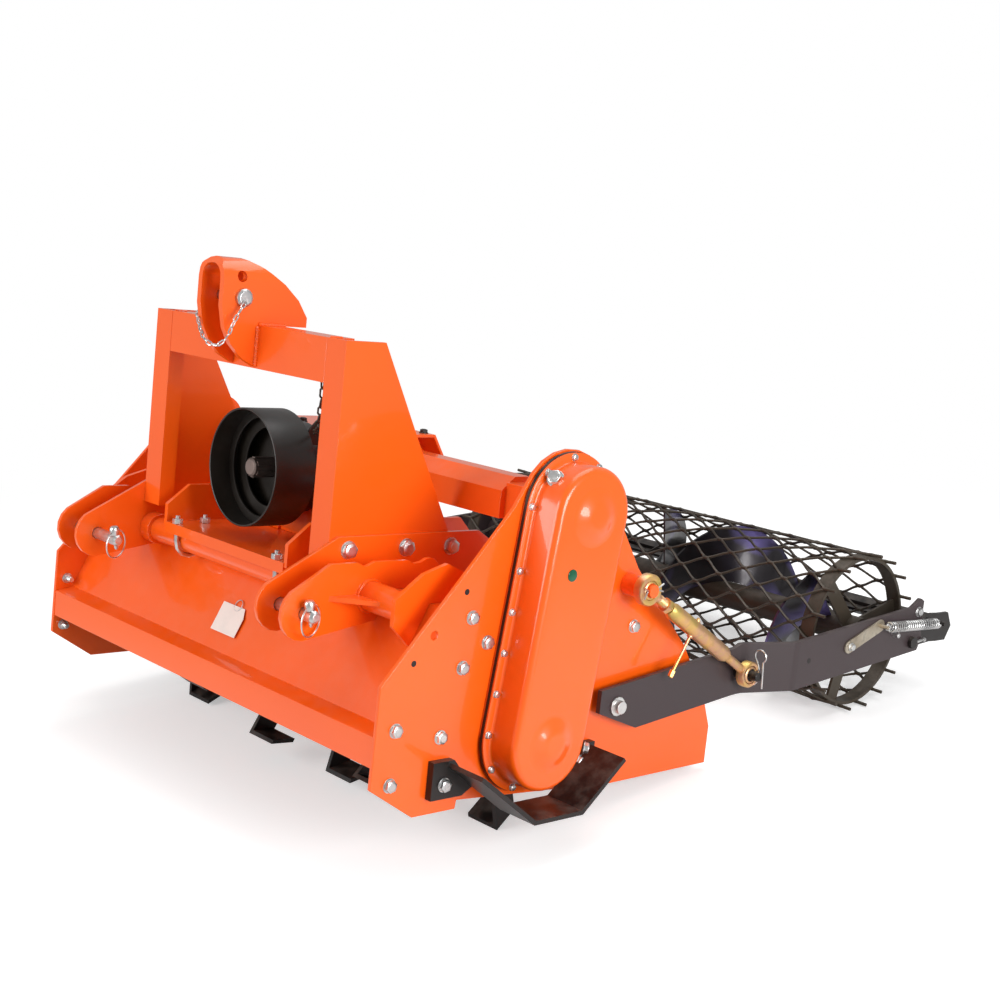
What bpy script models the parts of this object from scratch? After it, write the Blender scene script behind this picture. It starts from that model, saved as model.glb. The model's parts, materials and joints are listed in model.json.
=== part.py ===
"""Stone burier: a three-point tractor implement with a tined rotor and a diamond-mesh roller.

Everything is modelled in the machine's own axes, in metres: X to the side that carries the chain
case, Y to the rear, Z up, with zero at the middle of the hitch frame's front face, at its top.
The whole machine then leans back on its rotor and its roller, as it stands when it is parked.
"""

from math import asin, atan2, cos, degrees, hypot, pi, radians, sin, sqrt

import bmesh
import bpy
from mathutils import Matrix, Vector

# Gaps and plates
GAP = 0.0003
WELD = 0.0012
RUNNING_GAP = 0.006
PLATE = 0.008
SHEET = 0.005

# Hitch frame
HEAD_HALF_WIDTH = 0.302
UPRIGHT_FACE = 0.054
UPRIGHT_LIP = 0.032
UPRIGHT_DEPTH_TOP = 0.084
UPRIGHT_DEPTH_LOW = 0.265
UPRIGHT_HEIGHT = 0.378
GUSSET_HEIGHT = 0.331
BEAM_HEIGHT = 0.077
BEAM_DEPTH = 0.058
BEAM_WALL = 0.006

# Upper link bracket and its pin
BRACKET_HALF_WIDTH = 0.041
BRACKET_THICKNESS = 0.012
BRACKET_BEND_RADIUS = 0.036
BRACKET_REACH = 0.078
BRACKET_TAIL = 0.104
BRACKET_TOP = 0.114
UPPER_PIN_Y = -0.036
UPPER_PIN_Z = 0.046
UPPER_PIN_RADIUS = 0.0095
SPARE_HOLE_Z = 0.083

# Lower link ears
INNER_EAR_X = HEAD_HALF_WIDTH + GAP
OUTER_EAR_X = 0.372
EAR_RADIUS = 0.046
LOWER_PIN_Y = -0.096
LOWER_PIN_Z = -0.439
LOWER_PIN_RADIUS = 0.011
INNER_EAR_REAR = 0.333
INNER_EAR_DEPTH = 0.075
STUB_RADIUS = 0.026
STUB_Y = 0.036
STUB_Z = -0.418
STUB_SHORT = 0.055

# Working width, side plates and hood
INNER_HALF_WIDTH = 0.533
STUB_END_X = INNER_HALF_WIDTH - STUB_SHORT
ROTOR_Y = 0.267
ROTOR_Z = -0.637
UPPER_SHAFT_Y = 0.312
UPPER_SHAFT_Z = -0.250
CASE_FLANGE_RADIUS = 0.101
CASE_RADIUS = 0.085
CASE_DEPTH = 0.064
CASE_FLANGE = 0.006
CASE_GASKET = 0.004
DOME_RADIUS = 0.052
DOME_HEIGHT = 0.010
FLANGE_FRONT_Y = -0.055
FLANGE_TOP_Z = -0.607
FLANGE_BOTTOM_Z = -0.659
LEDGE_DEPTH = 0.036
LEDGE_RISE = 0.008
DECK_TOP_Z = -0.410
DECK_FRONT_Y = 0.078
DECK_REAR_Y = 0.452
HOOD_TAIL_Y = 0.668
HOOD_TAIL_Z = -0.548

# Gearbox group
INPUT_Z = -0.262
GUARD_RADIUS = 0.109
GUARD_WALL = 0.0035
GUARD_COLLAR = 0.032
GUARD_STEP = 0.014
GUARD_FRONT_Y = 0.022
GUARD_REAR_Y = 0.118
GEARBOX_FRONT_Y = 0.150
GEARBOX_REAR_Y = 0.382
GEARBOX_HALF_WIDTH = 0.078
BASE_HALF_WIDTH = 0.196
BASE_FRONT_Y = -0.006
BASE_REAR_Y = 0.404
BASE_TOP_Z = -0.398
MOUNT_TUBE_RADIUS = 0.024
U_BOLT_RADIUS = 0.005
U_BOLT_INSET = 0.031
U_BOLT_X = BASE_HALF_WIDTH - U_BOLT_INSET
MOUNT_TUBE_Y = 0.024
COVER_SHORT = 0.103

# Rotor
TINE_TIP_RADIUS = 0.210
ROTOR_TUBE_RADIUS = 0.038
ROTOR_FLANGE_RADIUS = 0.080
SHAFT_RADIUS = 0.020
SHAFT_END = 0.030
ROTOR_FLANGES = 6
ROTOR_FLANGE_INSET = 0.055
ROTOR_FLANGE_X = INNER_HALF_WIDTH - ROTOR_FLANGE_INSET
FLANGE_THICKNESS = 0.012
TINES_PER_FLANGE = 4
TINE_THICKNESS = 0.008
TINE_WIDTH = 0.046
TINE_FOOT = 0.078

# Skids
SKID_WIDTH = 0.0987

# Arms and roller
ARM_THICKNESS = 0.010
ARM_PIVOT_Y = 0.475
ARM_PIVOT_Z = -0.608
ARM_STANDOFF = 0.015
ARM_INNER_X = INNER_HALF_WIDTH + PLATE + ARM_STANDOFF
ARM_JOG = 0.050
ARM_BOLT_RADIUS = 0.010
ARM_TAIL = 0.132
ROLLER_Y = 1.240
ROLLER_Z = -0.538
MESH_RADIUS = 0.166
MESH_THICKNESS = 0.005
MESH_AROUND = 18
MESH_BAYS = 10
MESH_END_GAP = 0.066
MESH_PITCH = 2 * (ARM_INNER_X + ARM_JOG - MESH_END_GAP) / MESH_BAYS
MESH_STUB = 0.024
KNOT_LENGTH = 0.009
KNOT_WIDTH = 0.0038
CORE_RADIUS = 0.030
AXLE_RADIUS = 0.0125
FLIGHT_PITCH = 0.330
FLIGHT_THICKNESS = 0.005

# The arm's outline from over its pivot round by its tail: what it hangs on, how far behind and above that
ARM_OUTLINE = (
    ("pivot", -0.027, 0.022), ("pivot", -0.013, 0.036), ("eye", -0.011, 0.053), ("eye", 0.055, 0.077),
    ("roller", 0.082, 0.062), ("roller", 0.112, 0.080), ("roller", 0.124, 0.074), ("roller", 0.124, 0.018),
    ("roller", ARM_TAIL, -0.007), ("roller", 0.120, -0.034), ("eye", 0.085, -0.015), ("eye", -0.015, -0.033),
    ("pivot", 0.025, -0.047), ("pivot", 0.003, -0.044), ("pivot", -0.027, -0.004))

# Turnbuckles
UPPER_EYE_Y = 0.495
UPPER_EYE_Z = -0.390
LOWER_EYE_Y = 0.815
LOWER_EYE_Z = -0.577
EYE_RADIUS = 0.017
EYE_HOLE = 0.0095
EYE_THICKNESS = 0.013
EYE_PIN_RADIUS = 0.0075
EYE_COLLAR = 0.012
SHANK_RADIUS = 0.0085
BARREL_RADIUS = 0.0155
BARREL_START = 0.090
ROD_START = 0.165
ROD_TRAVEL = 0.026

# Scraper
SCRAPER_PIVOT_BEHIND = 0.093
SCRAPER_PIVOT_BELOW = 0.014
SCRAPER_BAR_BEHIND = 0.236
SCRAPER_BAR_ABOVE = 0.005
SCRAPER_PIVOT_Y = ROLLER_Y + SCRAPER_PIVOT_BEHIND
SCRAPER_PIVOT_Z = ROLLER_Z - SCRAPER_PIVOT_BELOW
SCRAPER_BAR_Y = ROLLER_Y + SCRAPER_BAR_BEHIND
SCRAPER_BAR_Z = ROLLER_Z + SCRAPER_BAR_ABOVE
SCRAPER_HEX_RADIUS = 0.036
SCRAPER_GAP = 0.006
SCRAPER_LINK = 0.008
SCRAPER_PIN_RADIUS = 0.008
SPRING_RADIUS = 0.0085
SPRING_STUD_BEHIND = 0.172
SPRING_STUD_ABOVE = 0.025
SPRING_HOOK_AHEAD = 0.036
SPRING_HOOK_ABOVE = 0.033
SPRING_STANDOFF = 0.017
LEVER_TAIL_AHEAD = 0.141
LEVER_TAIL_BELOW = 0.005
SPRING_STUD_Y = ROLLER_Y + SPRING_STUD_BEHIND
SPRING_STUD_Z = ROLLER_Z + SPRING_STUD_ABOVE
SPRING_HOOK_Y = ROLLER_Y - SPRING_HOOK_AHEAD
SPRING_HOOK_Z = ROLLER_Z + SPRING_HOOK_ABOVE
SPRING_X = ARM_INNER_X + ARM_JOG + ARM_THICKNESS + SPRING_STANDOFF
LEVER_TAIL_Y = ROLLER_Y - LEVER_TAIL_AHEAD
LEVER_TAIL_Z = ROLLER_Z - LEVER_TAIL_BELOW

# Sieve grid and levelling board
GRID_RODS = 17
GRID_END_GAP = 0.045
GRID_PITCH = 2 * (INNER_HALF_WIDTH - GRID_END_GAP) / (GRID_RODS - 1)
GRID_ROD_RADIUS = 0.006
GRID_RADIUS = 0.250
BOARD_HINGE_Y = 0.686
BOARD_HINGE_Z = -0.568
BOARD_HINGE_RADIUS = 0.010
BOARD_ROD_RADIUS = 0.006

PAINT_ORANGE = ("orange_paint", (0.89, 0.12, 0.012), 0.30, 0.0)
PAINT_DARK = ("dark_paint", (0.060, 0.045, 0.044), 0.42, 0.0)
BLACK = ("black_enamel", (0.012, 0.012, 0.013), 0.38, 0.0)
ZINC = ("bright_zinc", (0.62, 0.62, 0.60), 0.32, 1.0)
YELLOW_ZINC = ("yellow_zinc", (0.62, 0.42, 0.16), 0.35, 1.0)
CAST = ("cast_grey", (0.16, 0.16, 0.16), 0.60, 0.3)
FLIGHT_STEEL = ("flight_steel", (0.13, 0.11, 0.20), 0.34, 0.7)


def lay(axis, along, u, v):
    """A point from its place along an axis and its two other coordinates, in x, y, z order."""
    order = {"x": (along, u, v), "y": (u, along, v), "z": (u, v, along)}
    return Vector(order[axis])


def arc(centre, radius, start, end, steps):
    """Points on an arc about a 2-D centre, angles in degrees from +u towards +v."""
    turn = [radians(start + (end - start) * i / steps) for i in range(steps + 1)]
    return [(centre[0] + radius * cos(a), centre[1] + radius * sin(a)) for a in turn]


def mesh_from(points, faces):
    """A bmesh from points and faces, with its faces turned outwards."""
    bm = bmesh.new()
    verts = [bm.verts.new(p) for p in points]
    for face in faces:
        bm.faces.new([verts[i] for i in face])
    bmesh.ops.recalc_face_normals(bm, faces=bm.faces)
    return bm


def prism(axis, low, high, outline):
    """An outline drawn across an axis and extruded along it."""
    count = len(outline)
    points = [lay(axis, low, *p) for p in outline] + [lay(axis, high, *p) for p in outline]
    sides = [(i, (i + 1) % count, (i + 1) % count + count, i + count) for i in range(count)]
    return mesh_from(points, [tuple(range(count)), tuple(range(count, 2 * count))] + sides)


def box(low, high):
    """A box between two corners."""
    outline = [(low[0], low[1]), (high[0], low[1]), (high[0], high[1]), (low[0], high[1])]
    return prism("z", low[2], high[2], outline)


def rod(axis, centre, radius, low, high, sides=12):
    """A round bar along an axis."""
    return prism(axis, low, high, arc(centre, radius, 0, 360, sides)[:-1])


def hole(axis, centre, pin_radius, low, high, sides=12):
    """The cutter for a hole whose flats clear a pin of this radius."""
    return rod(axis, centre, (pin_radius + GAP) / cos(pi / sides), low, high, sides)


def turned(axis, centre, profile, sides=24):
    """A closed turned body: profile holds (place along the axis, radius) pairs, from end to end."""
    points, rings = [], []
    for along, radius in profile:
        if radius == 0.0:
            rings.append([len(points)])
            points.append(lay(axis, along, *centre))
            continue
        rings.append(list(range(len(points), len(points) + sides)))
        points += [lay(axis, along, *p) for p in arc(centre, radius, 0, 360, sides)[:-1]]
    faces = []
    for first, second in zip(rings, rings[1:]):
        for i in range(sides):
            j = (i + 1) % sides
            if len(first) == 1:
                faces.append((first[0], second[i], second[j]))
            elif len(second) == 1:
                faces.append((first[i], second[0], first[j]))
            else:
                faces.append((first[i], second[i], second[j], first[j]))
    for end in (rings[0], rings[-1]):
        if len(end) > 1:
            faces.append(tuple(end))
    return mesh_from(points, faces)


def lathed(axis, centre, section, sides=24):
    """A ring-shaped body: a closed section of (place along the axis, radius) points, turned round."""
    turn = [2 * pi * i / sides for i in range(sides)]
    points = []
    for along, radius in section:
        points += [lay(axis, along, centre[0] + radius * cos(a), centre[1] + radius * sin(a)) for a in turn]
    faces = []
    for k in range(len(section)):
        here, there = k * sides, (k + 1) % len(section) * sides
        for i in range(sides):
            j = (i + 1) % sides
            faces.append((here + i, here + j, there + j, there + i))
    return mesh_from(points, faces)


def ring(axis, centre, outer, inner, low, high, sides=24):
    """A tube: a round bar with a round hole right through."""
    return lathed(axis, centre, [(low, outer), (high, outer), (high, inner), (low, inner)], sides)


def strip(centreline, thickness):
    """The outline of a bent plate: an open line of 2-D points, thickened to its left side."""
    def side_step(a, b):
        run = hypot(b[0] - a[0], b[1] - a[1])
        return (-(b[1] - a[1]) / run, (b[0] - a[0]) / run)

    normals = [side_step(a, b) for a, b in zip(centreline, centreline[1:])]
    other = []
    for i, point in enumerate(centreline):
        before = normals[max(i - 1, 0)]
        after = normals[min(i, len(normals) - 1)]
        mid = (before[0] + after[0], before[1] + after[1])
        scale = 2 * thickness / (mid[0] ** 2 + mid[1] ** 2)
        other.append((point[0] + mid[0] * scale, point[1] + mid[1] * scale))
    return list(centreline) + other[::-1]


def bar_between(start, end, radius, sides=10):
    """A round bar between two points in space."""
    start, end = Vector(start), Vector(end)
    bm = rod("z", (0, 0), radius, 0, (end - start).length, sides)
    turn = (end - start).to_track_quat("Z", "Y").to_matrix().to_4x4()
    bmesh.ops.transform(bm, matrix=Matrix.Translation(start) @ turn, verts=bm.verts)
    return bm


def swept(path, radius, sides=8):
    """A round wire along a list of points, with flat ends."""
    path = [Vector(p) for p in path]
    points, across = [], None
    for i, here in enumerate(path):
        ahead = path[min(i + 1, len(path) - 1)] - path[max(i - 1, 0)]
        ahead.normalize()
        if across is None:
            across = ahead.orthogonal().normalized()
        across = (across - ahead * across.dot(ahead)).normalized()
        up = ahead.cross(across)
        for k in range(sides):
            a = 2 * pi * k / sides
            points.append(here + radius * (cos(a) * across + sin(a) * up))
    faces = [tuple(range(sides)), tuple(range(len(points) - sides, len(points)))]
    for i in range(len(path) - 1):
        for k in range(sides):
            j = (k + 1) % sides
            faces.append((i * sides + k, i * sides + j, (i + 1) * sides + j, (i + 1) * sides + k))
    return mesh_from(points, faces)


def mirrored(bm):
    """The same shape on the other side of the machine."""
    bmesh.ops.scale(bm, vec=(-1, 1, 1), verts=bm.verts)
    bmesh.ops.reverse_faces(bm, faces=bm.faces)
    return bm


def sided(side, bm):
    """A shape drawn for the +X side, put on the side that is asked for."""
    return bm if side > 0 else mirrored(bm)


class Builder:
    """Makes the objects: materials, the empties on the joints' axes, and the pieces."""

    def __init__(self):
        self.materials = {}
        self.places = {}
        self.helpers = bpy.data.collections.new("shapes joined or cut")
        self.helpers.hide_render = True
        bpy.context.scene.collection.children.link(self.helpers)

    def material(self, finish):
        """The material of a finish: name, colour, roughness, metallic."""
        name, colour, roughness, metallic = finish
        if name not in self.materials:
            made = bpy.data.materials.new(name)
            made.use_nodes = True
            made.diffuse_color = (*colour, 1.0)
            shader = made.node_tree.nodes["Principled BSDF"]
            shader.inputs["Base Color"].default_value = (*colour, 1.0)
            shader.inputs["Roughness"].default_value = roughness
            shader.inputs["Metallic"].default_value = metallic
            self.materials[name] = made
        return self.materials[name]

    def axis(self, name, place, parent=None):
        """An empty on a joint's axis, which carries that joint's pieces."""
        empty = bpy.data.objects.new(f"{name}_axis", None)
        empty.empty_display_size = 0.1
        bpy.context.scene.collection.objects.link(empty)
        self.places[name] = Vector(place)
        if parent:
            empty.parent = bpy.data.objects[f"{parent}_axis"]
            empty.location = self.places[name] - self.places[parent]
        return empty

    def _object(self, name, bm, body, collection):
        bmesh.ops.translate(bm, vec=-self.places[body], verts=bm.verts)
        mesh = bpy.data.meshes.new(name)
        bm.to_mesh(mesh)
        bm.free()
        made = bpy.data.objects.new(name, mesh)
        collection.objects.link(made)
        made.parent = bpy.data.objects[f"{body}_axis"]
        return made

    def _combine(self, made, label, operation, shapes, body):
        group = bpy.data.collections.new(f"{made.name} {label}")
        group.hide_render = True
        self.helpers.children.link(group)
        for i, shape in enumerate(shapes):
            helper = self._object(f"{made.name}_{label}_{i}", shape, body, group)
            helper.hide_render = True
            helper.display_type = "WIRE"
        modifier = made.modifiers.new(label, "BOOLEAN")
        modifier.operation = operation
        modifier.operand_type = "COLLECTION"
        modifier.collection = group
        modifier.solver = "EXACT"

    def piece(self, name, body, finish, solids, cuts=(), keep=None, smooth=True):
        """One piece: solids joined, then trimmed to keep, then cut."""
        made = self._object(name, solids[0], body, bpy.context.scene.collection)
        if keep:
            self._combine(made, "kept", "INTERSECT", [keep], body)
        if len(solids) > 1:
            self._combine(made, "joined", "UNION", solids[1:], body)
        if cuts:
            self._combine(made, "cut", "DIFFERENCE", cuts, body)
        made.data.materials.append(self.material(finish))
        if smooth:
            made.data.shade_smooth()
            made.data.set_sharp_from_angle(angle=radians(35))
        return made


def side_name(side):
    """The side's word in a piece's name."""
    return "right" if side > 0 else "left"


def slope_y(z):
    """Where the hood's front slope lies at a height."""
    foot_y, foot_z = FLANGE_FRONT_Y + LEDGE_DEPTH, FLANGE_TOP_Z + LEDGE_RISE
    return foot_y + (DECK_FRONT_Y - foot_y) * (z - foot_z) / (DECK_TOP_Z - foot_z)


def hitch_frame(build):
    """Two bent uprights with their tapering outer plates, and the channel beam between them."""
    inner = HEAD_HALF_WIDTH - UPRIGHT_FACE
    plate_low = -GUSSET_HEIGHT - 0.041
    gusset = [(0, 0), (UPRIGHT_DEPTH_TOP, 0), (UPRIGHT_DEPTH_LOW, -GUSSET_HEIGHT),
              (UPRIGHT_DEPTH_LOW, plate_low), (0, -UPRIGHT_HEIGHT)]
    for side in (1, -1):
        outer_plate = prism("x", HEAD_HALF_WIDTH - PLATE, HEAD_HALF_WIDTH, gusset)
        front = box((inner, 0, -UPRIGHT_HEIGHT), (HEAD_HALF_WIDTH - PLATE / 2, PLATE, 0))
        lip = box((inner, PLATE / 2, -UPRIGHT_HEIGHT), (inner + PLATE, UPRIGHT_LIP, 0))
        build.piece(f"upright_{side_name(side)}", "machine", PAINT_ORANGE,
                    [sided(side, outer_plate), sided(side, front), sided(side, lip)])
    channel = strip([(BEAM_DEPTH, -BEAM_HEIGHT), (0, -BEAM_HEIGHT), (0, 0), (BEAM_DEPTH, 0)], -BEAM_WALL)
    build.piece("cross_beam", "machine", PAINT_ORANGE,
                [prism("x", -inner + GAP, inner - GAP, channel)])


def upper_link(build):
    """A thick plate bent over into two ears on the beam, with the upper link's pin between them."""
    width, wall, bend = BRACKET_HALF_WIDTH, BRACKET_THICKNESS, BRACKET_BEND_RADIUS
    low = -BEAM_HEIGHT
    corner = BRACKET_TOP - bend
    outside = [(width, low), (width, corner)]
    outside += arc((width - bend, corner), bend, 0, 90, 4)[1:]
    outside += arc((bend - width, corner), bend, 90, 180, 4)
    outside += [(-width, low)]
    inside = [(-width + wall, low), (-width + wall, corner)]
    inside += arc((bend - width, corner), bend - wall, 180, 90, 4)[1:]
    inside += arc((width - bend, corner), bend - wall, 90, 0, 4)
    inside += [(width - wall, low)]
    bent = prism("y", -BRACKET_REACH, BRACKET_TAIL, outside + inside)
    side_view = [(-GAP, low + 0.002), (-GAP, GAP), (BRACKET_TAIL, GAP), (BRACKET_TAIL, 0.018)]
    side_view += [(0.083, 0.048), (0.052, 0.074), (0.010, 0.100), (-0.030, 0.117), (-BRACKET_REACH + 0.012, 0.117)]
    side_view += [(-BRACKET_REACH, 0.100), (-BRACKET_REACH, 0.030), (-0.070, -0.008), (-0.055, -0.036), (-0.030, -0.060)]
    keep = prism("x", -width - WELD, width + WELD, side_view)
    pin_hole = hole("x", (UPPER_PIN_Y, UPPER_PIN_Z), UPPER_PIN_RADIUS, -0.06, 0.06)
    spare = hole("x", (UPPER_PIN_Y - 0.004, SPARE_HOLE_Z), UPPER_PIN_RADIUS, 0, 0.06)
    build.piece("upper_link_bracket", "machine", PAINT_ORANGE, [bent], cuts=[pin_hole, spare], keep=keep)
    pin = [(-width - 0.026, UPPER_PIN_RADIUS - 0.002), (-width - 0.022, UPPER_PIN_RADIUS),
           (width + GAP, UPPER_PIN_RADIUS), (width + GAP, 0.0165), (width + 0.007, 0.0165),
           (width + 0.010, 0.012)]
    build.piece("upper_link_pin", "machine", ZINC, [turned("x", (UPPER_PIN_Y, UPPER_PIN_Z), pin, 12)])


def lower_links(build):
    """Each side's inner ear plate, outer ear plate with its stub tube, and the pin through both."""
    top = -GUSSET_HEIGHT
    low = top - INNER_EAR_DEPTH - 0.055
    ear = (LOWER_PIN_Y, LOWER_PIN_Z)
    inner_outline = [(INNER_EAR_REAR, top), (0.015, top)]
    inner_outline += arc(ear, EAR_RADIUS, 128, 290, 8)
    inner_outline += [(slope_y(low) - WELD / 2, low), (DECK_FRONT_Y - WELD / 2, DECK_TOP_Z + GAP),
                      (INNER_EAR_REAR + 0.050, DECK_TOP_Z + GAP), (INNER_EAR_REAR + 0.050, top - 0.030)]
    outer_outline = [(0.232, -0.390), (0.185, -0.375)]
    outer_outline += arc((0.160, -0.385), 0.026, 60, 130, 3)
    outer_outline += [(0.126, -0.368), (0.112, -0.361), (0.042, -0.360), (0.022, -0.368), (0.004, -0.360),
                      (-0.050, -0.360)]
    outer_outline += arc(ear, EAR_RADIUS, 128, 290, 8)
    outer_outline += [(slope_y(low) - WELD / 2, low), (DECK_FRONT_Y - WELD / 2, DECK_TOP_Z + GAP),
                      (0.232, DECK_TOP_Z + GAP)]
    rib = [(OUTER_EAR_X + PLATE - WELD, -0.050), (OUTER_EAR_X + PLATE - WELD, 0.070),
           (STUB_END_X - 0.020, 0.050), (STUB_END_X - 0.020, 0.030)]
    for side in (1, -1):
        name = side_name(side)
        inner = prism("x", INNER_EAR_X, INNER_EAR_X + PLATE, inner_outline)
        build.piece(f"inner_ear_{name}", "machine", PAINT_ORANGE, [sided(side, inner)],
                    cuts=[sided(side, hole("x", ear, LOWER_PIN_RADIUS, INNER_EAR_X - 0.01, INNER_EAR_X + 0.02))])
        outer = prism("x", OUTER_EAR_X, OUTER_EAR_X + PLATE, outer_outline)
        stub = rod("x", (STUB_Y, STUB_Z), STUB_RADIUS, OUTER_EAR_X + PLATE - WELD, STUB_END_X, 14)
        shelf = prism("z", STUB_Z - 0.004, STUB_Z + 0.004, rib)
        end_plate = prism("x", STUB_END_X - WELD, STUB_END_X + PLATE,
                          [(slope_y(-0.480) - WELD / 2, -0.480), (DECK_FRONT_Y - WELD / 2, DECK_TOP_Z + GAP), (0.150, DECK_TOP_Z + GAP),
                           (0.150, -0.362), (0.110, -0.345), (0.060, -0.360), (0.004, -0.400), (0.004, -0.445)])
        build.piece(f"outer_ear_{name}", "machine", PAINT_ORANGE,
                    [sided(side, s) for s in (outer, stub, shelf, end_plate)],
                    cuts=[sided(side, hole("x", ear, LOWER_PIN_RADIUS, OUTER_EAR_X - 0.01, OUTER_EAR_X + 0.02))])
        pin = [(INNER_EAR_X - 0.012, 0.016), (INNER_EAR_X - GAP, 0.016), (INNER_EAR_X - GAP, LOWER_PIN_RADIUS),
               (OUTER_EAR_X + PLATE + 0.028, LOWER_PIN_RADIUS), (OUTER_EAR_X + PLATE + 0.033, LOWER_PIN_RADIUS - 0.004)]
        build.piece(f"lower_link_pin_{name}", "machine", ZINC, [sided(side, turned("x", ear, pin, 12))])


def side_outline():
    """The side plate's outline, from the front edge round by the top to the rear and the bottom."""
    outline = [(-0.057, -0.694), (-0.055, -0.524), (0.119, -0.329), (0.194, -0.243)]
    outline += arc((UPPER_SHAFT_Y, UPPER_SHAFT_Z), CASE_FLANGE_RADIUS + 0.004, 142, 32, 7)
    outline += [(0.519, -0.363), (0.675, -0.521), (0.753, -0.634), (0.777, -0.690), (0.777, -0.764)]
    outline += [(0.510, -0.766), (0.131, -0.738), (0.129, -0.753), (0.036, -0.753)]
    return outline


def side_plates(build):
    """The two side plates, which carry the rotor, the arms, the skids and the turnbuckles."""
    for side in (1, -1):
        plate = prism("x", INNER_HALF_WIDTH + GAP, INNER_HALF_WIDTH + PLATE, side_outline())
        ear = rod("x", (UPPER_EYE_Y + 0.004, UPPER_EYE_Z), 0.034, INNER_HALF_WIDTH + GAP, INNER_HALF_WIDTH + PLATE, 12)
        inside, outside = INNER_HALF_WIDTH - PLATE, INNER_HALF_WIDTH + 2 * PLATE
        cuts = [rod("x", (ROTOR_Y, ROTOR_Z), 0.042, inside, outside, 16),
                rod("x", (UPPER_SHAFT_Y, UPPER_SHAFT_Z), 0.032, inside, outside, 12),
                rod("x", (0.046, -0.448), 0.008, inside, outside, 8)]
        build.piece(f"side_plate_{side_name(side)}", "machine", PAINT_ORANGE,
                    [sided(side, plate), sided(side, ear)], cuts=[sided(side, c) for c in cuts])


def hood(build):
    """The bent sheet over the rotor: front flange, ledge, slope, deck and tail."""
    line = [(FLANGE_FRONT_Y, FLANGE_BOTTOM_Z), (FLANGE_FRONT_Y, FLANGE_TOP_Z), (FLANGE_FRONT_Y + LEDGE_DEPTH, FLANGE_TOP_Z + LEDGE_RISE),
            (DECK_FRONT_Y, DECK_TOP_Z), (DECK_REAR_Y, DECK_TOP_Z), (HOOD_TAIL_Y, HOOD_TAIL_Z)]
    sheet = prism("x", -INNER_HALF_WIDTH, INNER_HALF_WIDTH, strip(line, -SHEET))
    build.piece("hood", "machine", PAINT_ORANGE, [sheet])


def obround(radius, steps=8):
    """The outline of the chain case: two arcs about the two shafts, joined by straight sides."""
    lean = degrees(atan2(ROTOR_Y - UPPER_SHAFT_Y, UPPER_SHAFT_Z - ROTOR_Z))
    top = arc((UPPER_SHAFT_Y, UPPER_SHAFT_Z), radius, 180 + lean, lean, steps)
    return top + arc((ROTOR_Y, ROTOR_Z), radius, lean, lean - 180, steps)


def chain_case(build):
    """The flanged tray on the side plate and its pressed cover with two domes."""
    start = INNER_HALF_WIDTH + PLATE + GAP
    cover_start = start + CASE_FLANGE + CASE_GASKET
    face = cover_start + CASE_DEPTH
    tray = prism("x", start, start + CASE_FLANGE, obround(CASE_FLANGE_RADIUS))
    rim = prism("x", start + CASE_FLANGE - WELD, cover_start - GAP, obround(CASE_RADIUS + 0.004))
    build.piece("chain_case_tray", "machine", PAINT_ORANGE, [tray, rim])
    flange = prism("x", cover_start, cover_start + 0.004, obround(CASE_FLANGE_RADIUS))
    body = prism("x", cover_start + 0.001, face - 0.008, obround(CASE_RADIUS))
    shoulder = prism("x", face - 0.009, face, obround(CASE_RADIUS - 0.009))
    domes = []
    for centre in ((UPPER_SHAFT_Y, UPPER_SHAFT_Z), (ROTOR_Y, ROTOR_Z)):
        profile = [(face - 0.002, DOME_RADIUS), (face + DOME_HEIGHT * 0.35, DOME_RADIUS * 0.86),
                   (face + DOME_HEIGHT * 0.75, DOME_RADIUS * 0.5), (face + DOME_HEIGHT, 0.0)]
        domes.append(turned("x", centre, profile, 16))
    build.piece("chain_case_cover", "machine", PAINT_ORANGE, [flange, body, shoulder] + domes)


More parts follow.
